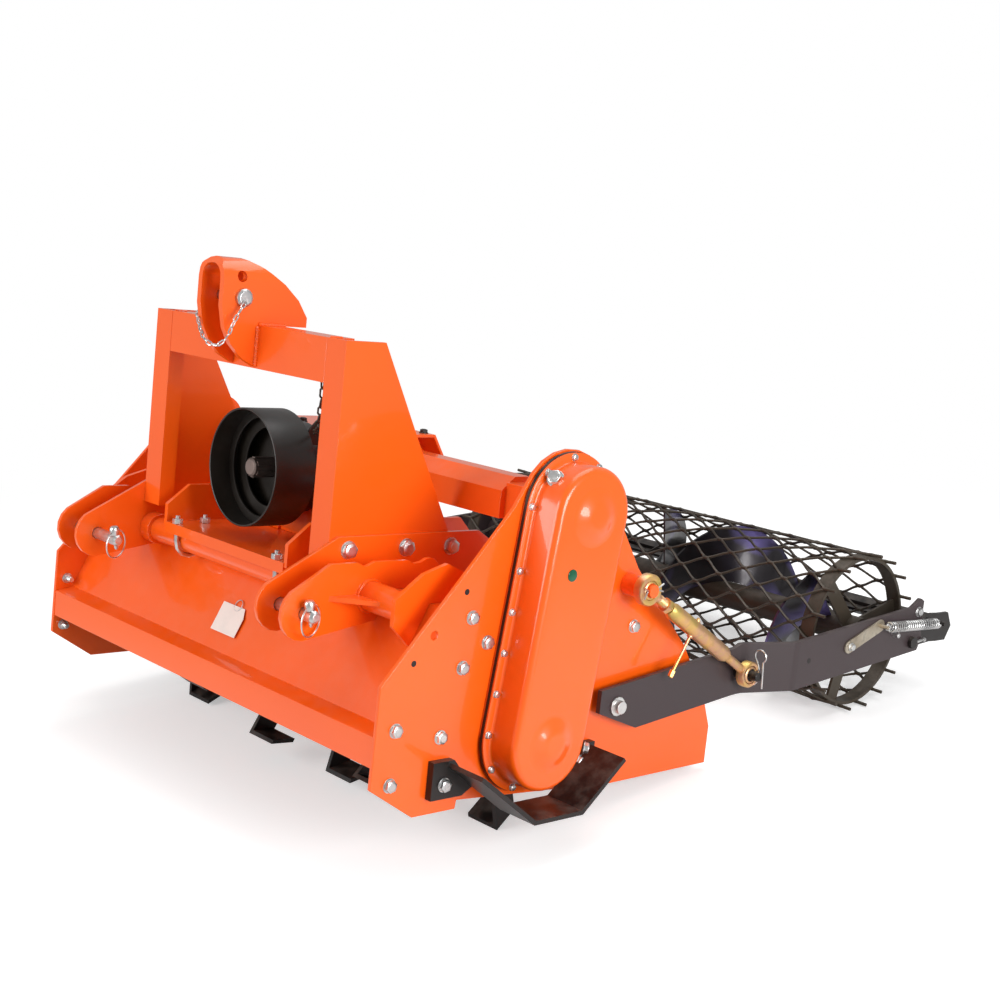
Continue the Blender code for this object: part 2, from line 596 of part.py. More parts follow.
def gearbox_group(build):
    """Gearbox on its base, the input shaft in its round guard, and the cover over the cross shaft."""
    base = box((-BASE_HALF_WIDTH, BASE_FRONT_Y, BASE_TOP_Z - PLATE), (BASE_HALF_WIDTH, BASE_REAR_Y, BASE_TOP_Z))
    lip = box((-BASE_HALF_WIDTH, BASE_FRONT_Y - PLATE, BASE_TOP_Z - 0.020), (BASE_HALF_WIDTH, BASE_FRONT_Y, BASE_TOP_Z))
    seat = DECK_TOP_Z + GAP
    under = BASE_TOP_Z - PLATE
    cheek = [(DECK_FRONT_Y, seat), (DECK_FRONT_Y, under), (BASE_FRONT_Y - 0.006, under), (BASE_FRONT_Y - 0.006, -0.365),
             (0.035, -0.328), (0.380, -0.328), (BASE_REAR_Y + 0.010, -0.362), (BASE_REAR_Y + 0.010, seat)]
    cheeks = [sided(s, prism("x", BASE_HALF_WIDTH - WELD, BASE_HALF_WIDTH + PLATE, cheek)) for s in (1, -1)]
    tube_z = BASE_TOP_Z - PLATE - GAP - MOUNT_TUBE_RADIUS
    hoop_steps = 6
    hoop = (MOUNT_TUBE_RADIUS + U_BOLT_RADIUS + GAP) / cos(pi / hoop_steps / 2)
    holes, bolts = [], {}
    for side in (1, -1):
        path = [(side * U_BOLT_X, MOUNT_TUBE_Y - hoop, BASE_TOP_Z + 0.016)]
        path += [(side * U_BOLT_X, y, z) for y, z in arc((MOUNT_TUBE_Y, tube_z), hoop, 180, 360, hoop_steps)]
        path += [(side * U_BOLT_X, MOUNT_TUBE_Y + hoop, BASE_TOP_Z + 0.016)]
        nuts = [rod("z", (side * U_BOLT_X, MOUNT_TUBE_Y + d), 0.010, BASE_TOP_Z + GAP, BASE_TOP_Z + 0.010, 6)
                for d in (-hoop, hoop)]
        bolts[side] = [swept(path, U_BOLT_RADIUS, 6)] + nuts
        holes += [hole("z", (side * U_BOLT_X, MOUNT_TUBE_Y + d), U_BOLT_RADIUS, BASE_TOP_Z - 0.02, BASE_TOP_Z + 0.01, 8)
                  for d in (-hoop, hoop)]
    build.piece("gearbox_base", "machine", PAINT_ORANGE, [base, lip] + cheeks, cuts=holes)
    for side in (1, -1):
        build.piece(f"u_bolt_{side_name(side)}", "machine", ZINC, bolts[side])
    build.piece("mount_tube", "machine", PAINT_ORANGE,
                [ring("x", (MOUNT_TUBE_Y, tube_z), MOUNT_TUBE_RADIUS, MOUNT_TUBE_RADIUS - 0.005, -INNER_EAR_X + GAP,
                      INNER_EAR_X - GAP, 14)])

    low, high = BASE_TOP_Z + GAP, -0.188
    half = GEARBOX_HALF_WIDTH
    block = prism("y", GEARBOX_FRONT_Y, GEARBOX_REAR_Y,
                  [(-half, low + 0.03), (-half + 0.02, low + 0.012), (half - 0.02, low + 0.012), (half, low + 0.03),
                   (half, high - 0.03), (half - 0.03, high), (-half + 0.03, high), (-half, high - 0.03)])
    feet = box((-half - 0.012, GEARBOX_FRONT_Y + 0.02, low), (half + 0.012, GEARBOX_REAR_Y - 0.02, low + 0.016))
    nose = turned("y", (0, INPUT_Z), [(GUARD_REAR_Y + GAP, 0.046), (GEARBOX_FRONT_Y + 0.004, 0.056)], 16)
    bore = rod("y", (0, INPUT_Z), 0.0235, GUARD_REAR_Y - 0.02, GEARBOX_FRONT_Y + 0.012, 14)
    side_bosses = rod("x", (UPPER_SHAFT_Y, UPPER_SHAFT_Z), 0.045, -half - 0.012, half + 0.012, 14)
    build.piece("gearbox", "machine", CAST, [block, feet, nose, side_bosses], cuts=[bore])

    inside = GUARD_RADIUS - GUARD_WALL
    step_y = GUARD_FRONT_Y + 0.042
    section = [(GUARD_FRONT_Y, GUARD_RADIUS), (GUARD_REAR_Y, GUARD_RADIUS), (GUARD_REAR_Y, GUARD_COLLAR),
               (GUARD_REAR_Y - GUARD_WALL, GUARD_COLLAR), (GUARD_REAR_Y - GUARD_WALL, inside), (step_y + GUARD_WALL, inside),
               (step_y + GUARD_WALL, inside - GUARD_STEP), (step_y, inside - GUARD_STEP), (step_y, inside),
               (GUARD_FRONT_Y, inside)]
    build.piece("shaft_guard", "machine", BLACK, [lathed("y", (0, INPUT_Z), section, 22)])

    shaft = [(GUARD_FRONT_Y + 0.012, 0.014), (GUARD_FRONT_Y + 0.015, 0.0175), (GUARD_REAR_Y - 0.016, 0.0175),
             (GUARD_REAR_Y - 0.014, 0.0225), (GEARBOX_FRONT_Y + 0.010, 0.0225)]
    build.piece("input_shaft", "input_shaft", ZINC, [turned("y", (0, INPUT_Z), shaft, 14)])

    half_cover = 0.047
    eaves, ridge, bottom = -0.235, -0.211, -0.284
    house = [(UPPER_SHAFT_Y - half_cover, bottom), (UPPER_SHAFT_Y - half_cover, eaves), (UPPER_SHAFT_Y - 0.018, ridge),
             (UPPER_SHAFT_Y + 0.018, ridge), (UPPER_SHAFT_Y + half_cover, eaves), (UPPER_SHAFT_Y + half_cover, bottom)]
    small = 0.036
    square = [(UPPER_SHAFT_Y - small, UPPER_SHAFT_Z - small), (UPPER_SHAFT_Y + small, UPPER_SHAFT_Z - small),
              (UPPER_SHAFT_Y + small, UPPER_SHAFT_Z + small * 0.8), (UPPER_SHAFT_Y - small, UPPER_SHAFT_Z + small * 0.8)]
    house_end = INNER_HALF_WIDTH - COVER_SHORT
    wide = prism("x", half + 0.012 + GAP, house_end, house)
    narrow = prism("x", house_end - WELD, INNER_HALF_WIDTH - GAP, square)
    build.piece("shaft_cover", "machine", PAINT_ORANGE, [wide, narrow])
    tie_left = prism("x", -INNER_HALF_WIDTH + GAP, -half - 0.012 - GAP, square)
    build.piece("tie_tube_left", "machine", PAINT_ORANGE, [tie_left])


def skids(build):
    """The bent wearing shoes under the two ends."""
    run = [(0.095, -0.663), (0.225, -0.757), (0.335, -0.757), (0.428, -0.676)]
    start = INNER_HALF_WIDTH + PLATE + GAP
    for side in (1, -1):
        shoe = prism("x", start + 0.012, start + SKID_WIDTH, strip(run, -PLATE))
        front_tab = prism("x", start, start + 0.014, [(0.060, -0.660), (0.060, -0.725), (0.128, -0.725), (0.150, -0.712), (0.105, -0.660)])
        rear_tab = prism("x", start, start + 0.014, [(0.385, -0.722), (0.372, -0.735), (0.440, -0.735), (0.440, -0.672), (0.425, -0.672)])
        build.piece(f"skid_{side_name(side)}", "machine", BLACK, [sided(side, s) for s in (shoe, front_tab, rear_tab)])


def tine(x, angle, hand):
    """One L-shaped tine: a tapered leg on the flange and a foot bent along the rotor."""
    outer = TINE_TIP_RADIUS
    half = TINE_WIDTH / 2
    lead = half
    tip = sqrt(outer ** 2 - lead ** 2)
    rake = TINE_WIDTH * 0.48
    bite = TINE_THICKNESS / 2
    leg = [(-half, 0.050), (half, 0.050), (half, tip - bite), (-half, tip - rake - bite)]
    foot = [(lead, tip), (lead, tip - TINE_THICKNESS), (-half, tip - rake - TINE_THICKNESS), (-half, tip - rake)]
    side = hand * (FLANGE_THICKNESS / 2 - GAP)
    ends = sorted((side, side + hand * TINE_THICKNESS))
    reach = sorted((side + hand * GAP, side + hand * TINE_FOOT))
    solids = [prism("x", x + ends[0], x + ends[1], leg), prism("x", x + reach[0], x + reach[1], foot)]
    for bm in solids:
        bmesh.ops.rotate(bm, cent=(0, 0, 0), matrix=Matrix.Rotation(angle - pi / 2, 3, "X"), verts=bm.verts)
        bmesh.ops.translate(bm, vec=(0, ROTOR_Y, ROTOR_Z), verts=bm.verts)
    return solids


def rotor(build, pitch):
    """The rotor: a tube with six flanges, each with four L-shaped tines, staggered round the axis."""
    centre = (ROTOR_Y, ROTOR_Z)
    shoulder = INNER_HALF_WIDTH - RUNNING_GAP
    profile = [(-INNER_HALF_WIDTH - SHAFT_END, SHAFT_RADIUS), (-shoulder, SHAFT_RADIUS), (-shoulder, ROTOR_TUBE_RADIUS),
               (shoulder, ROTOR_TUBE_RADIUS), (shoulder, SHAFT_RADIUS), (INNER_HALF_WIDTH + PLATE - GAP, SHAFT_RADIUS)]
    solids = [turned("x", centre, profile, 16)]
    stations = ROTOR_FLANGES * TINES_PER_FLANGE
    step = 2 * pi / stations
    order = (0, 2, 4, 5, 3, 1)
    first = -pi / 2 - step / 2 + pitch
    for k in range(ROTOR_FLANGES):
        x = -ROTOR_FLANGE_X + 2 * ROTOR_FLANGE_X * k / (ROTOR_FLANGES - 1)
        solids.append(rod("x", centre, ROTOR_FLANGE_RADIUS, x - FLANGE_THICKNESS / 2, x + FLANGE_THICKNESS / 2, 12))
        for i in range(TINES_PER_FLANGE):
            angle = first + order[k] * step + 2 * pi * i / TINES_PER_FLANGE
            if k == 0:
                hand = 1
            elif k == ROTOR_FLANGES - 1:
                hand = -1
            else:
                hand = 1 if i % 2 else -1
            solids += tine(x, angle, hand)
    build.piece("rotor", "rotor", BLACK, solids, smooth=False)


def arm_plan():
    """The arm's plan: straight, then stepped outwards past the roller's end."""
    inner = [(ARM_INNER_X, ARM_PIVOT_Y - 0.045), (ARM_INNER_X, LOWER_EYE_Y + 0.027),
             (ARM_INNER_X + ARM_JOG, LOWER_EYE_Y + 0.090), (ARM_INNER_X + ARM_JOG, ROLLER_Y + ARM_TAIL)]
    return strip(inner, -ARM_THICKNESS)


def arms(build):
    """The two arms that hold the roller behind the machine."""
    hung_on = {"pivot": (ARM_PIVOT_Y, ARM_PIVOT_Z), "eye": (LOWER_EYE_Y, LOWER_EYE_Z), "roller": (ROLLER_Y, ROLLER_Z)}
    profile = [(hung_on[place][0] + behind, hung_on[place][1] + above) for place, behind, above in ARM_OUTLINE]
    reach = ARM_INNER_X + ARM_JOG + 2 * ARM_THICKNESS
    for side in (1, -1):
        plan = prism("z", min(z for y, z in profile) - PLATE, max(z for y, z in profile) + PLATE, arm_plan())
        keep = prism("x", INNER_HALF_WIDTH, reach, profile)
        bearing_seat = rod("x", (ROLLER_Y, ROLLER_Z), 0.030, ARM_INNER_X + ARM_JOG - 0.024, ARM_INNER_X + ARM_JOG + 0.002, 14)
        bore = hole("x", (ROLLER_Y, ROLLER_Z), AXLE_RADIUS, INNER_HALF_WIDTH, reach)
        pivot = hole("x", (ARM_PIVOT_Y, ARM_PIVOT_Z), ARM_BOLT_RADIUS, INNER_HALF_WIDTH, reach)
        scraper_pin = hole("x", (SCRAPER_PIVOT_Y, SCRAPER_PIVOT_Z), SCRAPER_PIN_RADIUS, INNER_HALF_WIDTH, reach)
        build.piece(f"arm_{side_name(side)}", "roller_arms", PAINT_DARK,
                    [sided(side, plan), sided(side, bearing_seat)],
                    cuts=[sided(side, c) for c in (bore, pivot, scraper_pin)], keep=sided(side, keep))
    for side in (1, -1):
        start = INNER_HALF_WIDTH + PLATE + GAP
        bolt = [(start, 0.020), (ARM_INNER_X - GAP, 0.020), (ARM_INNER_X - GAP, ARM_BOLT_RADIUS),
                (ARM_INNER_X + ARM_THICKNESS + GAP, ARM_BOLT_RADIUS), (ARM_INNER_X + ARM_THICKNESS + GAP, 0.018),
                (ARM_INNER_X + ARM_THICKNESS + 0.004, 0.018), (ARM_INNER_X + ARM_THICKNESS + 0.004, 0.012),
                (ARM_INNER_X + ARM_THICKNESS + 0.014, 0.012)]
        build.piece(f"arm_pivot_{side_name(side)}", "machine", ZINC,
                    [sided(side, turned("x", (ARM_PIVOT_Y, ARM_PIVOT_Z), bolt, 12))])


def roller_mesh(build, pitch):
    """Expanded-metal mesh rolled into a drum: knots in staggered rows, strands between them.

    Each knot has four corners outside, east, north, west and south, and one point inside, so that
    every strand is a three-sided bar. The end knots have two corners more, on their cut stubs.
    """
    half = MESH_THICKNESS / 2
    columns = 2 * MESH_BAYS + 1
    start_x = -MESH_PITCH * MESH_BAYS / 2
    turn = 2 * pi / MESH_AROUND
    first = -pi / 2 + pitch + turn / 4
    points, faces, place = [], [], {}

    def add(key, x, angle, radius):
        place[key] = len(points)
        points.append(Vector((x, ROLLER_Y + radius * cos(angle), ROLLER_Z + radius * sin(angle))))

    stub = {0: ("W", -1), columns - 1: ("E", 1)}
    for j in range(columns):
        x = start_x + j * MESH_PITCH / 2
        for i in range(MESH_AROUND):
            angle = first + turn * (i + (0.5 if j % 2 else 0.0))
            marks = {"E": (KNOT_LENGTH, 0), "N": (0, KNOT_WIDTH), "W": (-KNOT_LENGTH, 0), "S": (0, -KNOT_WIDTH)}
            around = "ENWS"
            if j in stub:
                lost, way = stub[j]
                del marks[lost]
                marks["1"], marks["2"] = (way * MESH_STUB, KNOT_WIDTH), (way * MESH_STUB, -KNOT_WIDTH)
                around = around.replace(lost, "12" if way < 0 else "21")
            for mark, (dx, dc) in marks.items():
                add((i, j, mark), x + dx, angle + dc / MESH_RADIUS, MESH_RADIUS + half)
            add((i, j, "C"), x, angle, MESH_RADIUS - half)
            faces.append(tuple(place[i, j, m] for m in around))
            if j in stub:
                faces += [tuple(place[i, j, m] for m in (a, b, "C")) for a, b in ("N1", "12", "2S")]
    for j in range(columns - 1):
        for i in range(MESH_AROUND):
            up = (i + j % 2) % MESH_AROUND
            down = (up - 1) % MESH_AROUND
            for other, near, far in ((up, "NE", "WS"), (down, "SE", "WN")):
                here = [place[i, j, m] for m in near + "C"]
                there = [place[other, j + 1, m] for m in far + "C"]
                for a, b in ((0, 1), (1, 2), (2, 0)):
                    faces.append((here[a], here[b], there[b], there[a]))
    build.piece("roller_mesh", "roller", PAINT_DARK, [mesh_from(points, faces)], smooth=False)


def flight(start_x, end_x, outer, inner):
    """One auger flight: a ribbon wound round the core."""
    turns = (end_x - start_x) / FLIGHT_PITCH
    steps = max(int(18 * turns), 4)
    points, faces = [], []
    for k in range(steps + 1):
        x = start_x + (end_x - start_x) * k / steps
        a = 2 * pi * turns * k / steps
        for radius, dx in ((inner, 0), (outer, 0), (outer, FLIGHT_THICKNESS), (inner, FLIGHT_THICKNESS)):
            points.append(Vector((x + dx, ROLLER_Y + radius * cos(a), ROLLER_Z + radius * sin(a))))
    for k in range(steps):
        for c in range(4):
            d = (c + 1) % 4
            faces.append((4 * k + c, 4 * k + d, 4 * k + 4 + d, 4 * k + 4 + c))
    faces += [(0, 1, 2, 3), tuple(4 * steps + c for c in range(4))]
    return mesh_from(points, faces)


def roller_core(build):
    """The core pipe with its stub axles, end hoops on spokes, and two flights of opposite hand."""
    centre = (ROLLER_Y, ROLLER_Z)
    mesh_inner = MESH_RADIUS - MESH_THICKNESS / 2
    hoop_outer = mesh_inner - 0.0009
    end = MESH_PITCH * MESH_BAYS / 2
    axle_end = ARM_INNER_X + ARM_JOG + ARM_THICKNESS + 0.004
    profile = [(-axle_end, AXLE_RADIUS), (-end - 0.012, AXLE_RADIUS), (-end - 0.012, CORE_RADIUS),
               (end + 0.012, CORE_RADIUS), (end + 0.012, AXLE_RADIUS), (axle_end, AXLE_RADIUS)]
    solids = [turned("x", centre, profile, 16)]
    for side in (1, -1):
        hoop = ring("x", centre, hoop_outer, hoop_outer - 0.007, end - 0.030, end + 0.002, 24)
        solids.append(sided(side, hoop))
        for k in range(3):
            spoke = box((end - 0.018, -hoop_outer + 0.004, -0.020), (end - 0.012, hoop_outer - 0.004, 0.020))
            bmesh.ops.rotate(spoke, cent=(0, 0, 0), matrix=Matrix.Rotation(radians(20 + 60 * k), 3, "X"), verts=spoke.verts)
            bmesh.ops.translate(spoke, vec=(0, ROLLER_Y, ROLLER_Z), verts=spoke.verts)
            solids.append(sided(side, spoke))
    build.piece("roller_core", "roller", PAINT_DARK, solids)
    for side in (1, -1):
        ribbon = flight(RUNNING_GAP, end - 0.060, hoop_outer, CORE_RADIUS + 0.0006)
        build.piece(f"flight_{side_name(side)}", "roller", FLIGHT_STEEL, [sided(side, ribbon)])


def turnbuckles(build):
    """The screwed stays that set the roller's height: body with its upper eye, and lower eye rod."""
    upper = Vector((0, UPPER_EYE_Y, UPPER_EYE_Z))
    lower = Vector((0, LOWER_EYE_Y, LOWER_EYE_Z))
    length = (lower - upper).length
    along = (lower - upper).normalized()
    x = ARM_INNER_X + ARM_THICKNESS + RUNNING_GAP + BARREL_RADIUS
    for side in (1, -1):
        name = side_name(side)

        def at(distance):
            return upper + along * distance + Vector((x, 0, 0))

        eye = rod("x", (UPPER_EYE_Y, UPPER_EYE_Z), EYE_RADIUS, x - EYE_THICKNESS / 2, x + EYE_THICKNESS / 2, 14)
        shank = bar_between(at(EYE_COLLAR + 0.002), at(BARREL_START + 0.005), SHANK_RADIUS, 8)
        barrel = bar_between(at(BARREL_START), at(length - 0.085), BARREL_RADIUS, 12)
        middle = at(length * 0.52)
        handle = bar_between(middle + Vector((0.012, 0, 0)), middle + Vector((0.016, 0, 0)) + Vector((0, -0.075, -0.095)), 0.0065, 8)
        eye_hole = rod("x", (UPPER_EYE_Y, UPPER_EYE_Z), EYE_HOLE, x - 0.02, x + 0.02)
        bore = bar_between(at(ROD_START - ROD_TRAVEL - WELD), at(length), SHANK_RADIUS + 2 * GAP, 10)
        build.piece(f"turnbuckle_{name}", f"turnbuckle_{name}", YELLOW_ZINC,
                    [sided(side, s) for s in (barrel, shank, eye, handle)],
                    cuts=[sided(side, eye_hole), sided(side, bore)])
        eye = rod("x", (LOWER_EYE_Y, LOWER_EYE_Z), EYE_RADIUS, x - EYE_THICKNESS / 2, x + EYE_THICKNESS / 2, 14)
        shank = bar_between(at(ROD_START), at(length - EYE_COLLAR - 0.002), SHANK_RADIUS, 10)
        eye_hole = rod("x", (LOWER_EYE_Y, LOWER_EYE_Z), EYE_HOLE, x - 0.02, x + 0.02)
        build.piece(f"turnbuckle_rod_{name}", f"turnbuckle_rod_{name}", YELLOW_ZINC,
                    [sided(side, shank), sided(side, eye)], cuts=[sided(side, eye_hole)])
        start = INNER_HALF_WIDTH + PLATE + GAP
        face = x - EYE_THICKNESS / 2 - GAP
        pin = [(start, EYE_COLLAR), (face, EYE_COLLAR), (face, EYE_PIN_RADIUS), (x + EYE_THICKNESS / 2 + GAP, EYE_PIN_RADIUS),
               (x + EYE_THICKNESS / 2 + GAP, EYE_COLLAR), (x + EYE_THICKNESS / 2 + 0.009, EYE_COLLAR)]
        build.piece(f"upper_eye_pin_{name}", "machine", ZINC,
                    [sided(side, turned("x", (UPPER_EYE_Y, UPPER_EYE_Z), pin, 12))])
        pin = [(ARM_INNER_X + ARM_THICKNESS + GAP, EYE_COLLAR), (face, EYE_COLLAR), (face, EYE_PIN_RADIUS),
               (x + EYE_THICKNESS / 2 + 0.020, EYE_PIN_RADIUS)]
        build.piece(f"lower_eye_pin_{name}", "roller_arms", ZINC,
                    [sided(side, turned("x", (LOWER_EYE_Y, LOWER_EYE_Z), pin, 12))])


def scraper(build):
    """The sprung bar behind the roller, on two links with hexagonal ends, and its springs."""
    arm_face = ARM_INNER_X + ARM_JOG
    link_x = arm_face - SCRAPER_GAP - SCRAPER_LINK
    bar = (SCRAPER_BAR_Y, SCRAPER_BAR_Z)
    pivot = (SCRAPER_PIVOT_Y, SCRAPER_PIVOT_Z)
    edge = ROLLER_Y + MESH_RADIUS + MESH_THICKNESS / 2 + SCRAPER_GAP
    solids = [prism("x", -link_x - SCRAPER_LINK / 2, link_x + SCRAPER_LINK / 2, arc(bar, 0.022, 30, 390, 6)[:-1]),
              box((-MESH_PITCH * MESH_BAYS / 2, edge, SCRAPER_BAR_Z - 0.003),
                  (MESH_PITCH * MESH_BAYS / 2, SCRAPER_BAR_Y - 0.010, SCRAPER_BAR_Z + 0.003))]
    cuts = []
    for side in (1, -1):
        neck_y = SCRAPER_BAR_Y - 0.046
        link = arc(pivot, 0.019, 90, 270, 6) + [(neck_y, SCRAPER_BAR_Z - 0.030)]
        link += arc(bar, SCRAPER_HEX_RADIUS, -120, 120, 4) + [(neck_y, SCRAPER_BAR_Z + 0.033)]
        stud = rod("x", (SPRING_STUD_Y, SPRING_STUD_Z), 0.0055, link_x + 0.002, SPRING_X + 0.012, 8)
        solids += [sided(side, prism("x", link_x, link_x + SCRAPER_LINK, link)), sided(side, stud)]
        cuts.append(sided(side, hole("x", pivot, SCRAPER_PIN_RADIUS, link_x - 0.01, link_x + 0.02)))
    build.piece("scraper", "scraper", BLACK, solids, cuts=cuts)
    for side in (1, -1):
        name = side_name(side)
        outer_face = arm_face + ARM_THICKNESS
        pin = [(link_x - 0.008, 0.014), (link_x - GAP, 0.014), (link_x - GAP, SCRAPER_PIN_RADIUS), (outer_face + GAP, SCRAPER_PIN_RADIUS),
               (outer_face + GAP, 0.013), (outer_face + 0.009, 0.013)]
        build.piece(f"scraper_pin_{name}", "roller_arms", ZINC, [sided(side, turned("x", pivot, pin, 12))])
        along = Vector((0, SPRING_HOOK_Y - LEVER_TAIL_Y, SPRING_HOOK_Z - LEVER_TAIL_Z)).normalized()
        across = Vector((0, -along.z, along.y))
        tail = Vector((0, LEVER_TAIL_Y, LEVER_TAIL_Z))
        reach = Vector((0, SPRING_HOOK_Y, SPRING_HOOK_Z))
        corners = [tail - across * 0.014, reach + across * -0.006, reach + across * 0.008, tail + across * 0.012]
        strap = prism("x", outer_face + GAP, outer_face + 0.0045, [(c.y, c.z) for c in corners])
        peg = rod("x", (SPRING_HOOK_Y - 0.006, SPRING_HOOK_Z - 0.002), 0.004, outer_face + 0.003, SPRING_X + 0.010, 8)
        build.piece(f"spring_lever_{name}", "roller_arms", ZINC, [sided(side, strap), sided(side, peg)])
        start = Vector((SPRING_X, SPRING_HOOK_Y + 0.014, SPRING_HOOK_Z - 0.0026))
        stop = Vector((SPRING_X, SPRING_STUD_Y - 0.016, SPRING_STUD_Z + 0.0006))
        body = bar_between(start, stop, SPRING_RADIUS, 10)
        toward = (stop - start).normalized()
        hooks = bar_between(start - toward * 0.0155, stop + toward * 0.0100, 0.002, 6)
        build.piece(f"spring_{name}", "roller_arms", ZINC, [sided(side, body), sided(side, hooks)])


def sieve_and_board(build):
    """The curved rods behind the rotor that hold stones back, and the hinged levelling board."""
    bar_radius = 0.012
    top = (0.440, DECK_TOP_Z - SHEET - GAP - bar_radius)
    half = INNER_HALF_WIDTH - GAP
    tie_angle = radians(-5)
    tie_radius = GRID_RADIUS + GRID_ROD_RADIUS + bar_radius - 0.004
    tie = (ROTOR_Y + tie_radius * cos(tie_angle), ROTOR_Z + tie_radius * sin(tie_angle))
    solids = [rod("x", top, bar_radius, -half, half, 8), rod("x", tie, bar_radius, -half, half, 8)]
    path = [top] + arc((ROTOR_Y, ROTOR_Z), GRID_RADIUS, 40, -20, 4) + [(0.572, -0.766)]
    for k in range(GRID_RODS):
        x = (k - (GRID_RODS - 1) / 2) * GRID_PITCH
        solids.append(swept([(x, y, z) for y, z in path], GRID_ROD_RADIUS, 4))
    build.piece("sieve_grid", "machine", BLACK, solids)

    hinge = (BOARD_HINGE_Y, BOARD_HINGE_Z)
    line = [(BOARD_HINGE_Y + 0.001, BOARD_HINGE_Z - 0.008), (BOARD_HINGE_Y + 0.018, BOARD_HINGE_Z - 0.075),
            (BOARD_HINGE_Y + 0.078, BOARD_HINGE_Z - 0.180)]
    inside = INNER_HALF_WIDTH - RUNNING_GAP
    board = prism("x", -inside, inside, strip(line, SHEET))
    barrel = rod("x", hinge, BOARD_HINGE_RADIUS, -inside, inside, 12)
    bore = hole("x", hinge, BOARD_ROD_RADIUS, -INNER_HALF_WIDTH, INNER_HALF_WIDTH)
    build.piece("levelling_board", "levelling_board", PAINT_ORANGE, [board, barrel], cuts=[bore])
    build.piece("board_hinge_rod", "machine", ZINC, [rod("x", hinge, BOARD_ROD_RADIUS, -half, half)])


def rotor_bearing(build):
    """The bearing housing outside the left side plate."""
    start = INNER_HALF_WIDTH + PLATE + GAP
    profile = [(start, 0.062), (start + 0.012, 0.062), (start + 0.014, 0.048), (start + 0.034, 0.042),
               (start + 0.040, 0.030), (start + 0.040, 0.0)]
    housing = turned("x", (ROTOR_Y, ROTOR_Z), profile, 14)
    bore = hole("x", (ROTOR_Y, ROTOR_Z), SHAFT_RADIUS, start - 0.010, INNER_HALF_WIDTH + SHAFT_END + 0.002, 16)
    build.piece("rotor_bearing_left", "machine", BLACK, [mirrored(housing)], cuts=[mirrored(bore)])


def stand_on_floor():
    """The lean at which the rotor's tines and the roller stand on one floor."""
    low_tine = TINE_TIP_RADIUS * cos(pi / ROTOR_FLANGES / TINES_PER_FLANGE)
    low_mesh = (MESH_RADIUS + MESH_THICKNESS / 2) * cos(pi / MESH_AROUND / 2)
    run, rise = ROLLER_Y - ROTOR_Y, ROLLER_Z - ROTOR_Z
    return asin((low_tine - low_mesh) / hypot(run, rise)) + atan2(rise, run)


def put_origin_under(root):
    """Moves the root so that the world's origin lies under the middle of the machine, on the floor."""
    bpy.context.view_layer.update()
    graph = bpy.context.evaluated_depsgraph_get()
    corners = []
    for made in bpy.context.scene.collection.objects:
        if made.type == "MESH":
            mesh = made.evaluated_get(graph).to_mesh()
            corners += [made.matrix_world @ v.co for v in mesh.vertices]
            made.evaluated_get(graph).to_mesh_clear()
    low = [min(c[i] for c in corners) for i in range(3)]
    high = [max(c[i] for c in corners) for i in range(3)]
    root.location -= Vector(((low[0] + high[0]) / 2, (low[1] + high[1]) / 2, low[2]))


def main():
    """Clears the scene, builds every piece on its axis, and stands the machine on the floor."""
    for old in list(bpy.data.objects):
        bpy.data.objects.remove(old, do_unlink=True)
    pitch = stand_on_floor()
    build = Builder()
    root = build.axis("machine", (0, 0, 0))
    build.axis("input_shaft", (0, GUARD_FRONT_Y, INPUT_Z), "machine")
    build.axis("rotor", (0, ROTOR_Y, ROTOR_Z), "machine")
    build.axis("levelling_board", (0, BOARD_HINGE_Y, BOARD_HINGE_Z), "machine")
    build.axis("roller_arms", (0, ARM_PIVOT_Y, ARM_PIVOT_Z), "machine")
    build.axis("roller", (0, ROLLER_Y, ROLLER_Z), "roller_arms")
    build.axis("scraper", (0, SCRAPER_PIVOT_Y, SCRAPER_PIVOT_Z), "roller_arms")
    for side in (1, -1):
        name = side_name(side)
        build.axis(f"turnbuckle_{name}", (0, UPPER_EYE_Y, UPPER_EYE_Z), "machine")
        build.axis(f"turnbuckle_rod_{name}", (0, LOWER_EYE_Y, LOWER_EYE_Z), f"turnbuckle_{name}")

    hitch_frame(build)
    upper_link(build)
    lower_links(build)
    hood(build)
    side_plates(build)
    chain_case(build)
    gearbox_group(build)
    skids(build)
    rotor_bearing(build)
    rotor(build, pitch)
    sieve_and_board(build)
    arms(build)
    roller_core(build)
    roller_mesh(build, pitch)
    turnbuckles(build)
    scraper(build)

    root.rotation_euler = (-pitch, 0, 0)
    put_origin_under(root)


if __name__ == "__main__":
    main()
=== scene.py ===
"""Looks of a stone burier: its finishes, fasteners, springs, wire drum and studio.

Lengths are metres. Shapes are drawn in the machine's own axes: X towards the chain case, Y to the
rear, Z up, with zero at the top of the hitch frame's front face. The Lean class carries them into
the frame, where the machine stands on its rotor and its roller and leans back a little.
"""

import json
import logging
from collections.abc import Iterable, Sequence
from dataclasses import dataclass, field
from enum import Enum
from math import atan2, cos, degrees, hypot, pi, radians, sin, tau

import bmesh
import bpy
from mathutils import Matrix, Vector


